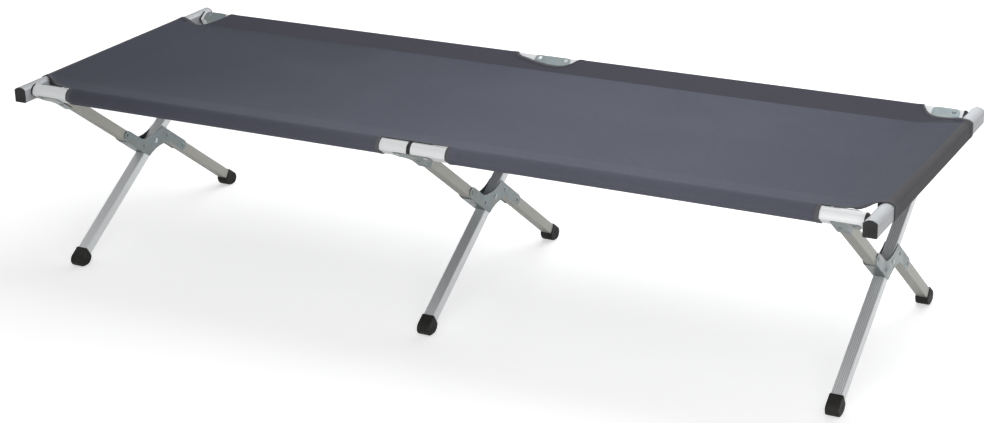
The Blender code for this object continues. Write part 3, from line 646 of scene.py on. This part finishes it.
def sleeveShade(tree, y, farSeam, settings, seams):
    # painted shade: how much the cloth is darkened round both rails, and on the far side inwards to the far
    # seam
    side = calculate(tree, "ABSOLUTE", y)
    laid = {}
    for name in ("nearLaid", "farLaid"):
        past, before, there = settings[name]
        laid[name] = remap(tree, side, seams["crest"], seams["crest"] + past, before, there)
    blur = settings["seamBlur"]
    pastSeam = remap(tree, calculate(tree, "SUBTRACT", side, farSeam), -blur, blur)
    farLaid = calculate(tree, "MULTIPLY", laid["farLaid"], pastSeam)
    farHalf = remap(tree, y, *settings["halves"])
    nearHalf = calculate(tree, "SUBTRACT", 1.0, farHalf)
    farLaid = calculate(tree, "MULTIPLY", farLaid, farHalf)
    return calculate(tree, "ADD", farLaid, calculate(tree, "MULTIPLY", laid["nearLaid"], nearHalf))


def sewnRows(tree, rows):
    # each row is (along, across, line): the threads, and how they draw the cloth down
    made = []
    for along, across, line in rows:
        made.append(useGroup(tree, stitchRow, Along=along, Across=across, Line=line))
    thread = made[0].outputs["Thread"]
    height = made[0].outputs["Height"]
    for row in made[1:]:
        thread = calculate(tree, "MAXIMUM", thread, row.outputs["Thread"])
        height = calculate(tree, "ADD", height, row.outputs["Height"])
    return thread, height


def clothRelief(tree, height, place, flat, weave, sleeveShadeMask, settings):
    # a soft crease along the bed, broken into short stretches, from how it is packed
    away = offLine(tree, apart(tree, flat)["Y"], settings["creaseY"])
    broken = remap(tree, grainNoise(tree, place, *settings["creaseNoise"]), *settings["creaseBreaks"])
    crease = calculate(tree, "MULTIPLY", remap(tree, away, settings["creaseWidth"], 0.0), broken)
    # short puckers where the double cloth is drawn round the rails, placed by the painted sleeve shade's
    # mask
    drawn = stretched(tree, flat, settings["puckerStretch"])
    pucker = calculate(tree, "MULTIPLY", grainNoise(tree, drawn, *settings["puckerNoise"]), sleeveShadeMask)
    raised = [
        (crease, settings["creaseRise"]),
        (weave.outputs["Height"], settings["weaveRise"]),
        (pucker, settings["puckerRise"]),
    ]
    for form, rise in raised:
        height = calculate(tree, "ADD", height, calculate(tree, "MULTIPLY", form, rise))
    return height


def makeCloth(name, settings, seams):
    material, tree, shader = newFinish(name)
    flat = addNode(tree, "ShaderNodeUVMap", uv_map="cloth").outputs["UV"]
    hem = apart(tree, addNode(tree, "ShaderNodeUVMap", uv_map="hem").outputs["UV"])
    weave = useGroup(tree, plainWeave, FlatPlace=flat, Yarns=settings["yarns"])
    place = objectPlace(tree)
    flatParts = apart(tree, flat)
    x = flatParts["X"]
    y = flatParts["Y"]

    tone = remap(tree, weave.outputs["Yarn Tone"], *settings["yarnTone"])
    colour = mixColours(tree, tone, settings["deep"], settings["light"])
    colour = mixColours(tree, settings["plainShare"], colour, settings["colour"])
    # painted shade and random fading, as the darker tone
    colour = mixColours(tree, fadeAndShade(tree, x, y, place, settings, seams), colour, settings["kept"])
    # the far seam runs a little askew
    straight = seams["across"][1]
    farSeam = remap(tree, x, *settings["driftSpan"], straight, straight + settings["seamDrift"])
    sleeveShadeMask = sleeveShade(tree, y, farSeam, settings, seams)
    # painted shade round the rails and on the far top band
    colour = mixColours(tree, sleeveShadeMask, colour, settings["sleeve"])
    blur = settings["seamBlur"]
    # painted shade on the pocket's outer side past the bar's crown
    pastCrownShade = remap(tree, calculate(tree, "ABSOLUTE", x), seams["crown"] - blur, seams["crown"] + blur)
    colour = mixColours(tree, pastCrownShade, colour, settings["band"])
    # painted highlight: the hem is made lighter and browner along its outward curving fold
    inner = seams["hem"] - settings["hemBlur"]
    hemHighlight = remap(tree, hem["Y"], seams["hem"], inner, 0.0, settings["hemShare"])
    colour = mixColours(tree, hemHighlight, colour, settings["hem"])
    colour = mixColours(tree, remap(tree, hem["Y"], *settings["cutEdge"]), colour, settings["thread"])
    rows = [(hem["X"], hem["Y"], settings["hemStitch"]), (x, y, seams["across"][0]), (x, y, farSeam)]
    thread, height = sewnRows(tree, rows)
    colour = mixColours(tree, thread, colour, settings["thread"])
    tree.links.new(colour, shader.inputs["Base Color"])

    height = clothRelief(tree, height, place, flat, weave, sleeveShadeMask, settings)
    addBump(tree, shader, height, *settings["bump"])
    tree.links.new(remap(tree, tone, 0.0, 1.0, *settings["roughness"]), shader.inputs["Roughness"])
    shader.inputs["Sheen Weight"].default_value = settings["sheenWeight"]
    shader.inputs["Sheen Roughness"].default_value = settings["sheenRoughness"]
    shader.inputs["Sheen Tint"].default_value = settings["sheenTint"]
    shader.inputs["Specular IOR Level"].default_value = settings["gloss"]
    return material


# The bed: one sewn sheet over the rails, with a pocket at each end for its bar

bedSettings = {
    "cloth": 0.0009,
    "standOff": 0.0008,  # from a tube's surface to the middle of the cloth round it
    "seamInset": 0.076,  # from a rail's middle line in to the seam that closes its sleeve
    "seamHeight": 0.4076,
    "middleHeight": 0.4052,
    "sagPower": 4,
    "riseInset": 0.091,  # from a bar's middle line in to where the deck starts to rise to it
    "slopeLength": 1.01,  # the way up that slope, against its run
    "deckEnd": 0.9120,  # where the pocket is sewn to the deck, beside the bar
    "joint": 0.0004,  # a last narrow row there, so that the joint doesn't show
    "pocketTurn": 0.9235,  # from here out the pocket goes with its bar
    "pocketHalf": 0.255,
    "pocketLip": 0.0153,  # from the bar's middle line in to the pocket's free edge under the deck
    "lipGap": 0.0002,
    "sleeveEnds": {"near": (-0.830, 0.836), "far": (-0.845, 0.835)},
    "openings": {"near": (-0.065, 0.082), "far": (-0.083, 0.066)},
    "tuck": 1.1,  # how many thicknesses of cloth a sleeve's sewn end lies under the deck
    "hemWidth": 0.0105,
    "hemRaise": 0.0005,
    "hemStep": 0.0006,  # the row in which that thickness ends
    "hemRow": 0.0035,
    "noHem": 0.05,  # stands for the distance where no cut edge is near
    "curlWidth": 0.013,
    "curlClear": 0.005,  # how far in from a rail's middle line a cut edge starts to curl down
    "curlGrow": (0.012, 0.018),  # over how much more it does so fully, and over how much from the bar
    "seamRoom": 0.016,  # the row of faces at the seam stays this far in from a cut edge
    "seamRows": 4,
    "deckRows": 30,
    "step": 0.013,
    "riseStep": 0.006,
    "roundRail": 0.0045,  # a sleeve's rows
    "besideSleeve": (0.0015, 0.004, 0.008, 0.013, 0.020),  # extra columns past a sleeve's end
    "alongBar": 0.02,
    "roundBar": 0.004,
    "weld": 0.00004,
    "ripple": 0.0009,
    "rippleWaves": [(3.1, 5.3, 0.4, 1.0), (9.0, 8.0, 4.1, 0.5)],  # along, across, start, share
    "rippleEnds": (8, 6),  # how abruptly they end along and across
}
# The cut edges between the sleeves and the bars. Each point is (along the cot from its middle, in from the
# rail's middle line).
cutEdges = {
    "near_left": {
        "curl": 0.0035,
        "line": [(0.840, -0.0025), (0.862, 0.003), (0.885, 0.018), (0.905, 0.035), (0.919, 0.045),
                 (0.9365, 0.055)],
    },
    "near_right": {
        "curl": 0.0045,
        "line": [(0.845, -0.0025), (0.868, -0.0015), (0.885, 0.005), (0.8985, 0.018), (0.9070, 0.034),
                 (0.9165, 0.051), (0.9365, 0.0585)],
    },
    "far_left": {
        "curl": 0.0010,
        "line": [(0.852, 0.022), (0.862, 0.050), (0.872, 0.070), (0.882, 0.079), (0.893, 0.077),
                 (0.911, 0.068), (0.9365, 0.0575)],
    },
    "far_right": {
        "curl": 0.0010,
        "line": [(0.8530, 0.027), (0.8695, 0.041), (0.8950, 0.046), (0.9200, 0.045), (0.9365, 0.051)],
    },
    "near_opening": {
        "curl": 0.0,
        "line": [(-0.062, -0.0025), (0.0, -0.0025), (0.078, -0.0025)],
    },
    "far_opening": {
        "curl": 0.0012,
        "line": [(-0.070, 0.010), (-0.050, 0.017), (-0.025, 0.027), (0.0, 0.034), (0.022, 0.037),
                 (0.042, 0.034), (0.056, 0.020)],
    },
}


def smoothShare(value):
    value = max(0.0, min(1.0, value))
    return value * value * (3 - 2 * value)


def mixNumbers(first, second, share):
    return first + (second - first) * share


def turnAt(a, b, p):
    # above zero where the way from a by b to p turns left
    return (b[0] - a[0]) * (p[1] - a[1]) - (b[1] - a[1]) * (p[0] - a[0])


def hullOf(points):
    # convex outline, anticlockwise
    points = sorted(set(points))
    inLine = 1e-12

    def chain(ordered):
        kept = []
        for p in ordered:
            while len(kept) > 1 and turnAt(kept[-2], kept[-1], p) <= inLine:
                kept.pop()
            kept.append(p)
        return kept[:-1]

    return chain(points) + chain(points[::-1])


def grown(outline, distance):
    # the outline let out evenly: each corner moves along the mean of its two edges' normals
    count = len(outline)
    result = []
    for i, spot in enumerate(outline):
        before = Vector(spot) - Vector(outline[i - 1])
        after = Vector(outline[(i + 1) % count]) - Vector(spot)
        first = Vector((before.y, -before.x)).normalized()
        second = Vector((after.y, -after.x)).normalized()
        mean = (first + second).normalized()
        result.append(tuple(Vector(spot) + mean * (distance / max(mean.dot(first), 0.5))))
    return result


def sectionOf(nodeName, across, sign):
    # the outline of a straight tube seen along its length, with the given side of the cot turned to plus
    points = [(round(sign * v.co[across], 6), round(v.co[2], 6)) for v in nodes[nodeName].data.vertices]
    return hullOf(points)


def loopFrom(anchor, outline):
    # a taut loop of cloth: from the anchor over the outline, round it and back under to the anchor
    around = hullOf(list(outline) + [anchor])
    start = around.index(anchor)
    around = around[start:] + around[:start]
    return [anchor] + around[:0:-1] + [anchor]


def resampled(path, step):
    points = [path[0]]
    for a, b in zip(path, path[1:]):
        count = max(1, math.ceil((Vector(b) - Vector(a)).length / step))
        for i in range(1, count + 1):
            points.append(tuple(Vector(a).lerp(Vector(b), i / count)))
    return points


railY = sum(c[1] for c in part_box("far_left_half_rail")) / 2
barX = sum(c[0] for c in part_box("right_end_bar")) / 2
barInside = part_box("right_end_bar")[0].x
seamY = railY - bedSettings["seamInset"]
riseX = barX - bedSettings["riseInset"]


def sleevePath(side):
    outline = grown(sectionOf(side + "_left_half_rail", 1, sides[side]), bedSettings["standOff"])
    return loopFrom((seamY, bedSettings["seamHeight"]), outline)


sleevePaths = {side: sleevePath(side) for side in sides}
crests = {side: path[1] for side, path in sleevePaths.items()}
barOutline = grown(sectionOf("right_end_bar", 0, 1), bedSettings["standOff"])
overBar = loopFrom((riseX, bedSettings["seamHeight"]), barOutline)
crownX, crownZ = overBar[1]


def riseShare(x):
    # how far along the slope from the deck's last level line up to the bar's crown
    return max(0.0, min(1.0, (abs(x) - riseX) / (crownX - riseX)))


def slopeHeight(x):
    return mixNumbers(bedSettings["seamHeight"], crownZ, riseShare(x))


def baseHeight(side, y):
    # the deck's height away from its ends: a slight sag between the seams, then up to the rail
    crestY, crestZ = crests[side]
    reach = abs(y)
    if reach > seamY:
        share = min(1.0, (reach - seamY) / (crestY - seamY))
        return mixNumbers(bedSettings["seamHeight"], crestZ, share)
    share = (reach / seamY) ** bedSettings["sagPower"]
    return mixNumbers(bedSettings["middleHeight"], bedSettings["seamHeight"], share)


def deckHeight(side, x, y):
    # towards a bar, the rails' height gives way to the slope's
    share = riseShare(x)
    height = baseHeight(side, y)
    if share > 0:
        height = slopeHeight(x) + (height - bedSettings["seamHeight"]) * (1 - share)
    return height


def curveThrough(points, x):
    # a smooth line y(x) through the given points
    for i in range(len(points) - 1):
        if x <= points[i + 1][0] or i == len(points) - 2:
            break
    (x0, y0), (x1, y1) = points[i], points[i + 1]
    before = points[max(0, i - 1)]
    after = points[min(len(points) - 1, i + 2)]
    width = x1 - x0
    slope0 = (y1 - before[1]) / (x1 - before[0])
    slope1 = (after[1] - y0) / (after[0] - x0)
    t = max(0.0, min(1.0, (x - x0) / width))
    return (
        y0 * (2 * t ** 3 - 3 * t ** 2 + 1)
        + slope0 * width * (t ** 3 - 2 * t ** 2 + t)
        + y1 * (3 * t ** 2 - 2 * t ** 3)
        + slope1 * width * (t ** 3 - t ** 2)
    )


def cutLine(side, place):
    # a cut edge's points as (x, distance from the middle line), from sleeve to sleeve or from sleeve to bar
    crestY = crests[side][0]
    points = [(x, railY - inward) for x, inward in cutEdges[side + "_" + place]["line"]]
    if place == "opening":
        low, high = bedSettings["openings"][side]
        return [(low, crestY)] + points + [(high, crestY)]
    lowEnd, highEnd = bedSettings["sleeveEnds"][side]
    return [(highEnd if place == "right" else -lowEnd, crestY)] + points


cutLines = {name: cutLine(*name.split("_")) for name in cutEdges}


def edgeOf(side, x):
    # where the deck's edge lies at this x: (distance from the middle line, curl, whether a sleeve goes on)
    low, high = bedSettings["openings"][side]
    lowEnd, highEnd = bedSettings["sleeveEnds"][side]
    if low < x < high:
        name = side + "_opening"
        y = curveThrough(cutLines[name], x)
    elif lowEnd <= x <= highEnd:
        return crests[side][0], 0.0, True
    else:
        name = side + ("_left" if x < 0 else "_right")
        y = curveThrough(cutLines[name], min(abs(x), barX))
    fromRail, fromBar = bedSettings["curlGrow"]
    clear = smoothShare((railY - y - bedSettings["curlClear"]) / fromRail)
    clear *= smoothShare((barInside - abs(x)) / fromBar)
    return y, cutEdges[name]["curl"] * clear, False


def stationList():
    # where the deck's columns stand
    hem = bedSettings["hemWidth"]
    breaks = {0.0, riseX, -riseX}
    for side in sides:
        lowEnd, highEnd = bedSettings["sleeveEnds"][side]
        low, high = bedSettings["openings"][side]
        for edge, inward in ((lowEnd, 1), (low, -1), (high, 1), (highEnd, -1)):
            breaks |= {edge, edge + inward * hem, edge + inward * (hem + bedSettings["hemStep"])}
            breaks |= {edge - inward * d for d in bedSettings["besideSleeve"]}
    xs = []
    ordered = sorted(b for b in breaks if abs(b) <= riseX)
    for a, b in zip(ordered, ordered[1:]):
        count = max(1, math.ceil((b - a) / bedSettings["step"]))
        xs += [mixNumbers(a, b, i / count) for i in range(count)]
    xs.append(ordered[-1])
    count = math.ceil((bedSettings["deckEnd"] - riseX) / bedSettings["riseStep"])
    rising = [mixNumbers(riseX, bedSettings["deckEnd"], i / count) for i in range(1, count + 1)]
    rising.insert(-1, bedSettings["deckEnd"] - bedSettings["joint"])
    for x in rising:
        xs.append(x)
        xs.insert(0, -x)
    return xs


def ripple(x, y):
    # slow waves of a stretched sheet, gone where it is sewn
    endAlong, endAcross = bedSettings["rippleEnds"]
    free = max(0.0, 1 - (abs(y) / seamY) ** endAcross) * max(0.0, 1 - (abs(x) / riseX) ** endAlong)
    wave = 0.0
    for along, across, start, share in bedSettings["rippleWaves"]:
        wave += share * noise.noise(Vector((x * along, y * across, start)))
    return bedSettings["ripple"] * free * wave


def edgeDip(curl, distance):
    # how far a curled edge hangs down, this far in from it
    return curl * max(0.0, 1 - distance / bedSettings["curlWidth"]) ** 2


def hemOffset(distance):
    inHem = distance < bedSettings["hemWidth"] + bedSettings["hemStep"] / 2
    return bedSettings["hemRaise"] if inHem else 0.0


def alongDistance(side, x):
    # how far x is from the nearest end of its sleeve
    low, high = bedSettings["openings"][side]
    lowEnd, highEnd = bedSettings["sleeveEnds"][side]
    return min(abs(x - end) for end in (low, high, lowEnd, highEnd))


def deckColumn(x):
    # points from the near edge to the far edge
    hem = bedSettings["hemWidth"]
    pastHem = hem + bedSettings["hemStep"]
    noHem = bedSettings["noHem"]
    seamRows = bedSettings["seamRows"]
    halves = []
    for side, sign in sides.items():
        edge, curl, sewn = edgeOf(side, x)
        seamRow = min(seamY, edge - bedSettings["seamRoom"])
        distances = [0.0, bedSettings["hemRow"], hem, pastHem]
        distances += [mixNumbers(pastHem, edge - seamRow, i / seamRows) for i in range(1, seamRows)]
        rows = []
        for distance in distances:
            y = edge - distance
            z = deckHeight(side, x, y)
            if not sewn:
                z += hemOffset(distance) - edgeDip(curl, distance)
            rows.append((sign * y, z, noHem if sewn else distance))
        rows.append((sign * seamRow, deckHeight(side, x, seamRow), noHem))
        halves.append(rows)
    near, far = halves
    count = bedSettings["deckRows"]
    low, high = near[-1][0], far[-1][0]
    middle = []
    for i in range(1, count):
        y = mixNumbers(low, high, i / count)
        middle.append((y, deckHeight("far" if y > 0 else "near", x, y) + ripple(x, y), noHem))
    return [(Vector((x, y, z)), fromEdge) for y, z, fromEdge in near + middle + far[::-1]]


def tunnelColumn(side, x):
    # points from the rail's crest round the outside and back under to the seam
    sign = sides[side]
    path = resampled(sleevePaths[side][1:], bedSettings["roundRail"])
    raised = hemOffset(alongDistance(side, x))
    points = []
    for i, (y, z) in enumerate(path):
        before = Vector(path[max(0, i - 1)])
        after = Vector(path[min(len(path) - 1, i + 1)])
        run = after - before
        outward = Vector((-run.y, run.x)).normalized()
        y += outward.x * raised
        z += outward.y * raised
        if i == len(path) - 1:
            z -= bedSettings["tuck"] * bedSettings["cloth"]
        points.append((Vector((x, sign * y, z)), alongDistance(side, x)))
    return points


def patchFaces(work, layers, columns, flip):
    # columns of (place, flat u, flat v, hem u, hem v) joined into quads
    clothLayer, hemLayer = layers
    made = [[work.verts.new(entry[0]) for entry in column] for column in columns]
    for i in range(len(columns) - 1):
        for j in range(len(columns[i]) - 1):
            corners = [(i, j), (i + 1, j), (i + 1, j + 1), (i, j + 1)]
            if flip:
                corners.reverse()
            face = work.faces.new([made[a][b] for a, b in corners])
            for loop, (a, b) in zip(face.loops, corners):
                entry = columns[a][b]
                loop[clothLayer].uv = entry[1:3]
                loop[hemLayer].uv = entry[3:5]


def lengthsAlong(points):
    total = [0.0]
    for a, b in zip(points, points[1:]):
        total.append(total[-1] + (b - a).length)
    return total


def newSheetMesh(name, build):
    work = bmesh.new()
    layers = (work.loops.layers.uv.new("cloth"), work.loops.layers.uv.new("hem"))
    build(work, layers)
    bmesh.ops.remove_doubles(work, verts=work.verts, dist=bedSettings["weld"])
    mesh = bpy.data.meshes.new(name)
    work.to_mesh(mesh)
    work.free()
    mesh.shade_smooth()
    piece = bpy.data.objects.new(name, mesh)
    bpy.context.scene.collection.objects.link(piece)
    thicken = piece.modifiers.new("thickness", "SOLIDIFY")
    thicken.thickness = bedSettings["cloth"]
    thicken.offset = 0.0
    return piece


def buildBed(work, layers):
    columns = []
    stations = stationList()
    for x in stations:
        placed = deckColumn(x)
        lengths = lengthsAlong([p for p, d in placed])
        middle = next(s for (p, d), s in zip(placed, lengths) if p.y >= 0)
        columns.append([(p, x, s - middle, x, d) for (p, d), s in zip(placed, lengths)])
    patchFaces(work, layers, columns, False)
    for side in sides:
        low, high = bedSettings["openings"][side]
        lowEnd, highEnd = bedSettings["sleeveEnds"][side]
        for first, last in ((lowEnd, low), (high, highEnd)):
            tunnel = []
            start = crests[side][0]
            for x in stations:
                if not first <= x <= last:
                    continue
                placed = tunnelColumn(side, x)
                lengths = lengthsAlong([p for p, d in placed])
                tunnel.append([
                    (p, x, sides[side] * (start + s), s, d) for (p, d), s in zip(placed, lengths)
                ])
            patchFaces(work, layers, tunnel, sides[side] < 0)


def makeBed(material):
    bed = newSheetMesh("bed_sheet", buildBed)
    bed.data.materials.append(material)
    sleeves = [f"{side}_{end}_sleeve" for side in sides for end in ends]
    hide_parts("fabric_deck", *sleeves)
    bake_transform(bed)
    return bed


# Pockets for the end bars

def pocketPath():
    # from the deck's end over the bar, round it and back up its inner side to the lip, as (x, z)
    start = (bedSettings["deckEnd"], slopeHeight(bedSettings["deckEnd"]))
    lipX = barX - bedSettings["pocketLip"]
    lip = (lipX, slopeHeight(lipX) - bedSettings["cloth"] - bedSettings["lipGap"])
    under = loopFrom(lip, barOutline)
    first = barOutline.index(overBar[1])
    last = barOutline.index(under[-2])
    corners = len(barOutline)
    ring = [barOutline[(first - i) % corners] for i in range((first - last) % corners + 1)]
    path = resampled([start] + ring + [lip], bedSettings["roundBar"])
    joint = Vector(path[0]) + (Vector(path[1]) - Vector(path[0])).normalized() * bedSettings["joint"]
    path.insert(1, tuple(joint))
    return path


def buildPocket(end):
    sign = ends[end]

    def build(work, layers):
        path = pocketPath()
        half = bedSettings["pocketHalf"]
        hem = bedSettings["hemWidth"]
        row = bedSettings["hemRow"]
        inner = half - hem - bedSettings["hemStep"]
        count = math.ceil(2 * inner / bedSettings["alongBar"])
        ys = [-half, row - half, hem - half]
        ys += [mixNumbers(-inner, inner, i / count) for i in range(count + 1)]
        ys += [half - hem, half - row, half]
        columns = []
        for fullY in ys:
            side = "near" if fullY < 0 else "far"
            points = []
            for i, (x, z) in enumerate(path):
                share = riseShare(x)
                width, curl = edgeOf(side, sign * x)[:2]
                y = fullY * width / half
                run = Vector(path[min(len(path) - 1, i + 1)]) - Vector(path[max(0, i - 1)])
                outward = Vector((-run.y, run.x)).normalized() * hemOffset(half - abs(fullY))
                z += (baseHeight(side, y) - bedSettings["seamHeight"]) * (1 - share)
                z -= edgeDip(curl, width - abs(y))
                points.append(Vector((sign * (x + outward.x), y, z + outward.y)))
            lengths = lengthsAlong(points)
            columns.append([
                (p, sign * (bedSettings["deckEnd"] + s), p.y, s, half - abs(fullY))
                for p, s in zip(points, lengths)
            ])
        patchFaces(work, layers, columns, sign > 0)

    return build


def makePocket(end, material):
    pocket = newSheetMesh(end + "_pocket", buildPocket(end))
    pocket.data.materials.append(material)
    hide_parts(end + "_end_pocket")
    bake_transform(pocket)
    return pocket


seamLines = {
    "across": [-seamY, seamY],
    "crest": crests["far"][0],
    "rise": riseX,
    "crown": bedSettings["deckEnd"] + (crownX - bedSettings["deckEnd"]) * bedSettings["slopeLength"],
    "hem": bedSettings["hemWidth"],
}
clothFinish = makeCloth("blue_grey_polyester", clothSettings, seamLines)
bed = makeBed(clothFinish)
pockets = {end: makePocket(end, clothFinish) for end in ends}
print("bed sewn:", len(bed.data.polygons), "faces")

pocketGirth = lengthsAlong([Vector(p) for p in pocketPath()])[-1]


# The frame's finishes

def dress(names, material):
    for name in names:
        slots = nodes[name].data.materials
        slots.clear()
        slots.append(material)


tubes = {name: makeTubeFinish(name, form, tubeSurface) for name, form in tubeSettings.items()}
zincFinish = makeZinc("zinc_plated_bracket", zincSettings)
rivetFinish = makeRivetSteel("plated_rivet", rivetSettings)
blacks = {name: makeBlack(name, form, blackSurface) for name, form in blackSettings.items()}
dressing = [
    (("_half_rail",), tubes["anodised_rail"]),
    (("_end_bar",), tubes["end_bar_metal"]),
    (("_straight_leg",), tubes["straight_leg_metal"]),
    (("_upper_half_leg", "_lower_half_leg"), tubes["bent_leg_metal"]),
    (("_top_bracket", "_crossing_bracket"), zincFinish),
    (("_pivot_rivet", "_hinge_rivet", "_peg"), rivetFinish),
    (("_gap_plug", "_end_plug", "_bar_cap"), blacks["black_plastic_moulding"]),
    (("_foot",), blacks["black_rubber_foot"]),
]
for endings, finish in dressing:
    dress([name for name in nodes if name.endswith(endings)], finish)
print("frame dressed")


# Studio

studioSettings = {
    "floorSize": 40.0,
    "floorDrop": 0.0004,
    "floorColour": (0.86, 0.86, 0.86, 1),
    "floorRoughness": 0.9,
    "floorGlow": (0.48, 0.80),  # added for what is seen directly: by the cot, and away from it
    "glowReach": (1.3, 3.2),
    "worldLight": 0.30,
    "lamps": {
        "overhead_softbox": {
            "place": (0.4, 0.8, 2.0), "aim": (0.4, 0.2, 0.4), "size": (2.4, 1.6),
            "power": 22.0, "tint": (0.97, 0.985, 1.0),
        },
        "rear_strip": {
            "place": (0.2, 3.2, 1.6), "aim": (0.3, 0.0, 0.4), "size": (4.0, 1.4),
            "power": 45.0, "tint": (0.97, 0.985, 1.0),
        },
        "near_fill": {
            "place": (1.6, -3.4, 1.1), "aim": (0.2, 0.0, 0.2), "size": (3.2, 2.2),
            "power": 88.0, "tint": (1.0, 0.99, 0.97),
        },
    },
}


def seenDirectly(tree):
    # 1 for what the camera sees, straight or in a mirror or through glass
    paths = addNode(tree, "ShaderNodeLightPath").outputs
    seen = calculate(tree, "MAXIMUM", paths["Is Camera Ray"], paths["Is Glossy Ray"])
    return calculate(tree, "MAXIMUM", seen, paths["Is Transmission Ray"])


def makeFloor(settings):
    bpy.ops.mesh.primitive_plane_add(size=settings["floorSize"], location=(0, 0, -settings["floorDrop"]))
    floor = bpy.context.object
    floor.name = "studio_floor"
    material, tree, shader = newFinish("pale_floor")
    shader.inputs["Base Color"].default_value = settings["floorColour"]
    shader.inputs["Roughness"].default_value = settings["floorRoughness"]
    shader.inputs["Emission Color"].default_value = (1, 1, 1, 1)
    away = addNode(tree, "ShaderNodeVectorMath", operation="LENGTH")
    tree.links.new(objectPlace(tree), away.inputs[0])
    share = remap(tree, away.outputs["Value"], *settings["glowReach"], *settings["floorGlow"])
    glow = calculate(tree, "MULTIPLY", seenDirectly(tree), share)
    tree.links.new(glow, shader.inputs["Emission Strength"])
    floor.data.materials.append(material)


def makeWorld(settings):
    world = bpy.data.worlds.new("studio_world")
    bpy.context.scene.world = world
    world.use_nodes = True
    tree = world.node_tree
    background = tree.nodes["Background"]
    background.inputs["Color"].default_value = (1, 1, 1, 1)
    strength = remap(tree, seenDirectly(tree), 0.0, 1.0, settings["worldLight"], 1.0)
    tree.links.new(strength, background.inputs["Strength"])


def makeLamp(name, settings):
    data = bpy.data.lights.new(name, "AREA")
    data.shape = "RECTANGLE"
    data.size, data.size_y = settings["size"]
    data.energy = settings["power"]
    data.color = settings["tint"]
    lamp = bpy.data.objects.new(name, data)
    place = Vector(settings["place"])
    lamp.location = place
    lamp.visible_camera = False
    lamp.rotation_mode = "QUATERNION"
    lamp.rotation_quaternion = (Vector(settings["aim"]) - place).to_track_quat("-Z", "Y")
    bpy.context.scene.collection.objects.link(lamp)


makeFloor(studioSettings)
makeWorld(studioSettings)
for lampName, lampSettings in studioSettings["lamps"].items():
    makeLamp(lampName, lampSettings)
bpy.context.scene.view_settings.view_transform = "Standard"
print("studio lit")
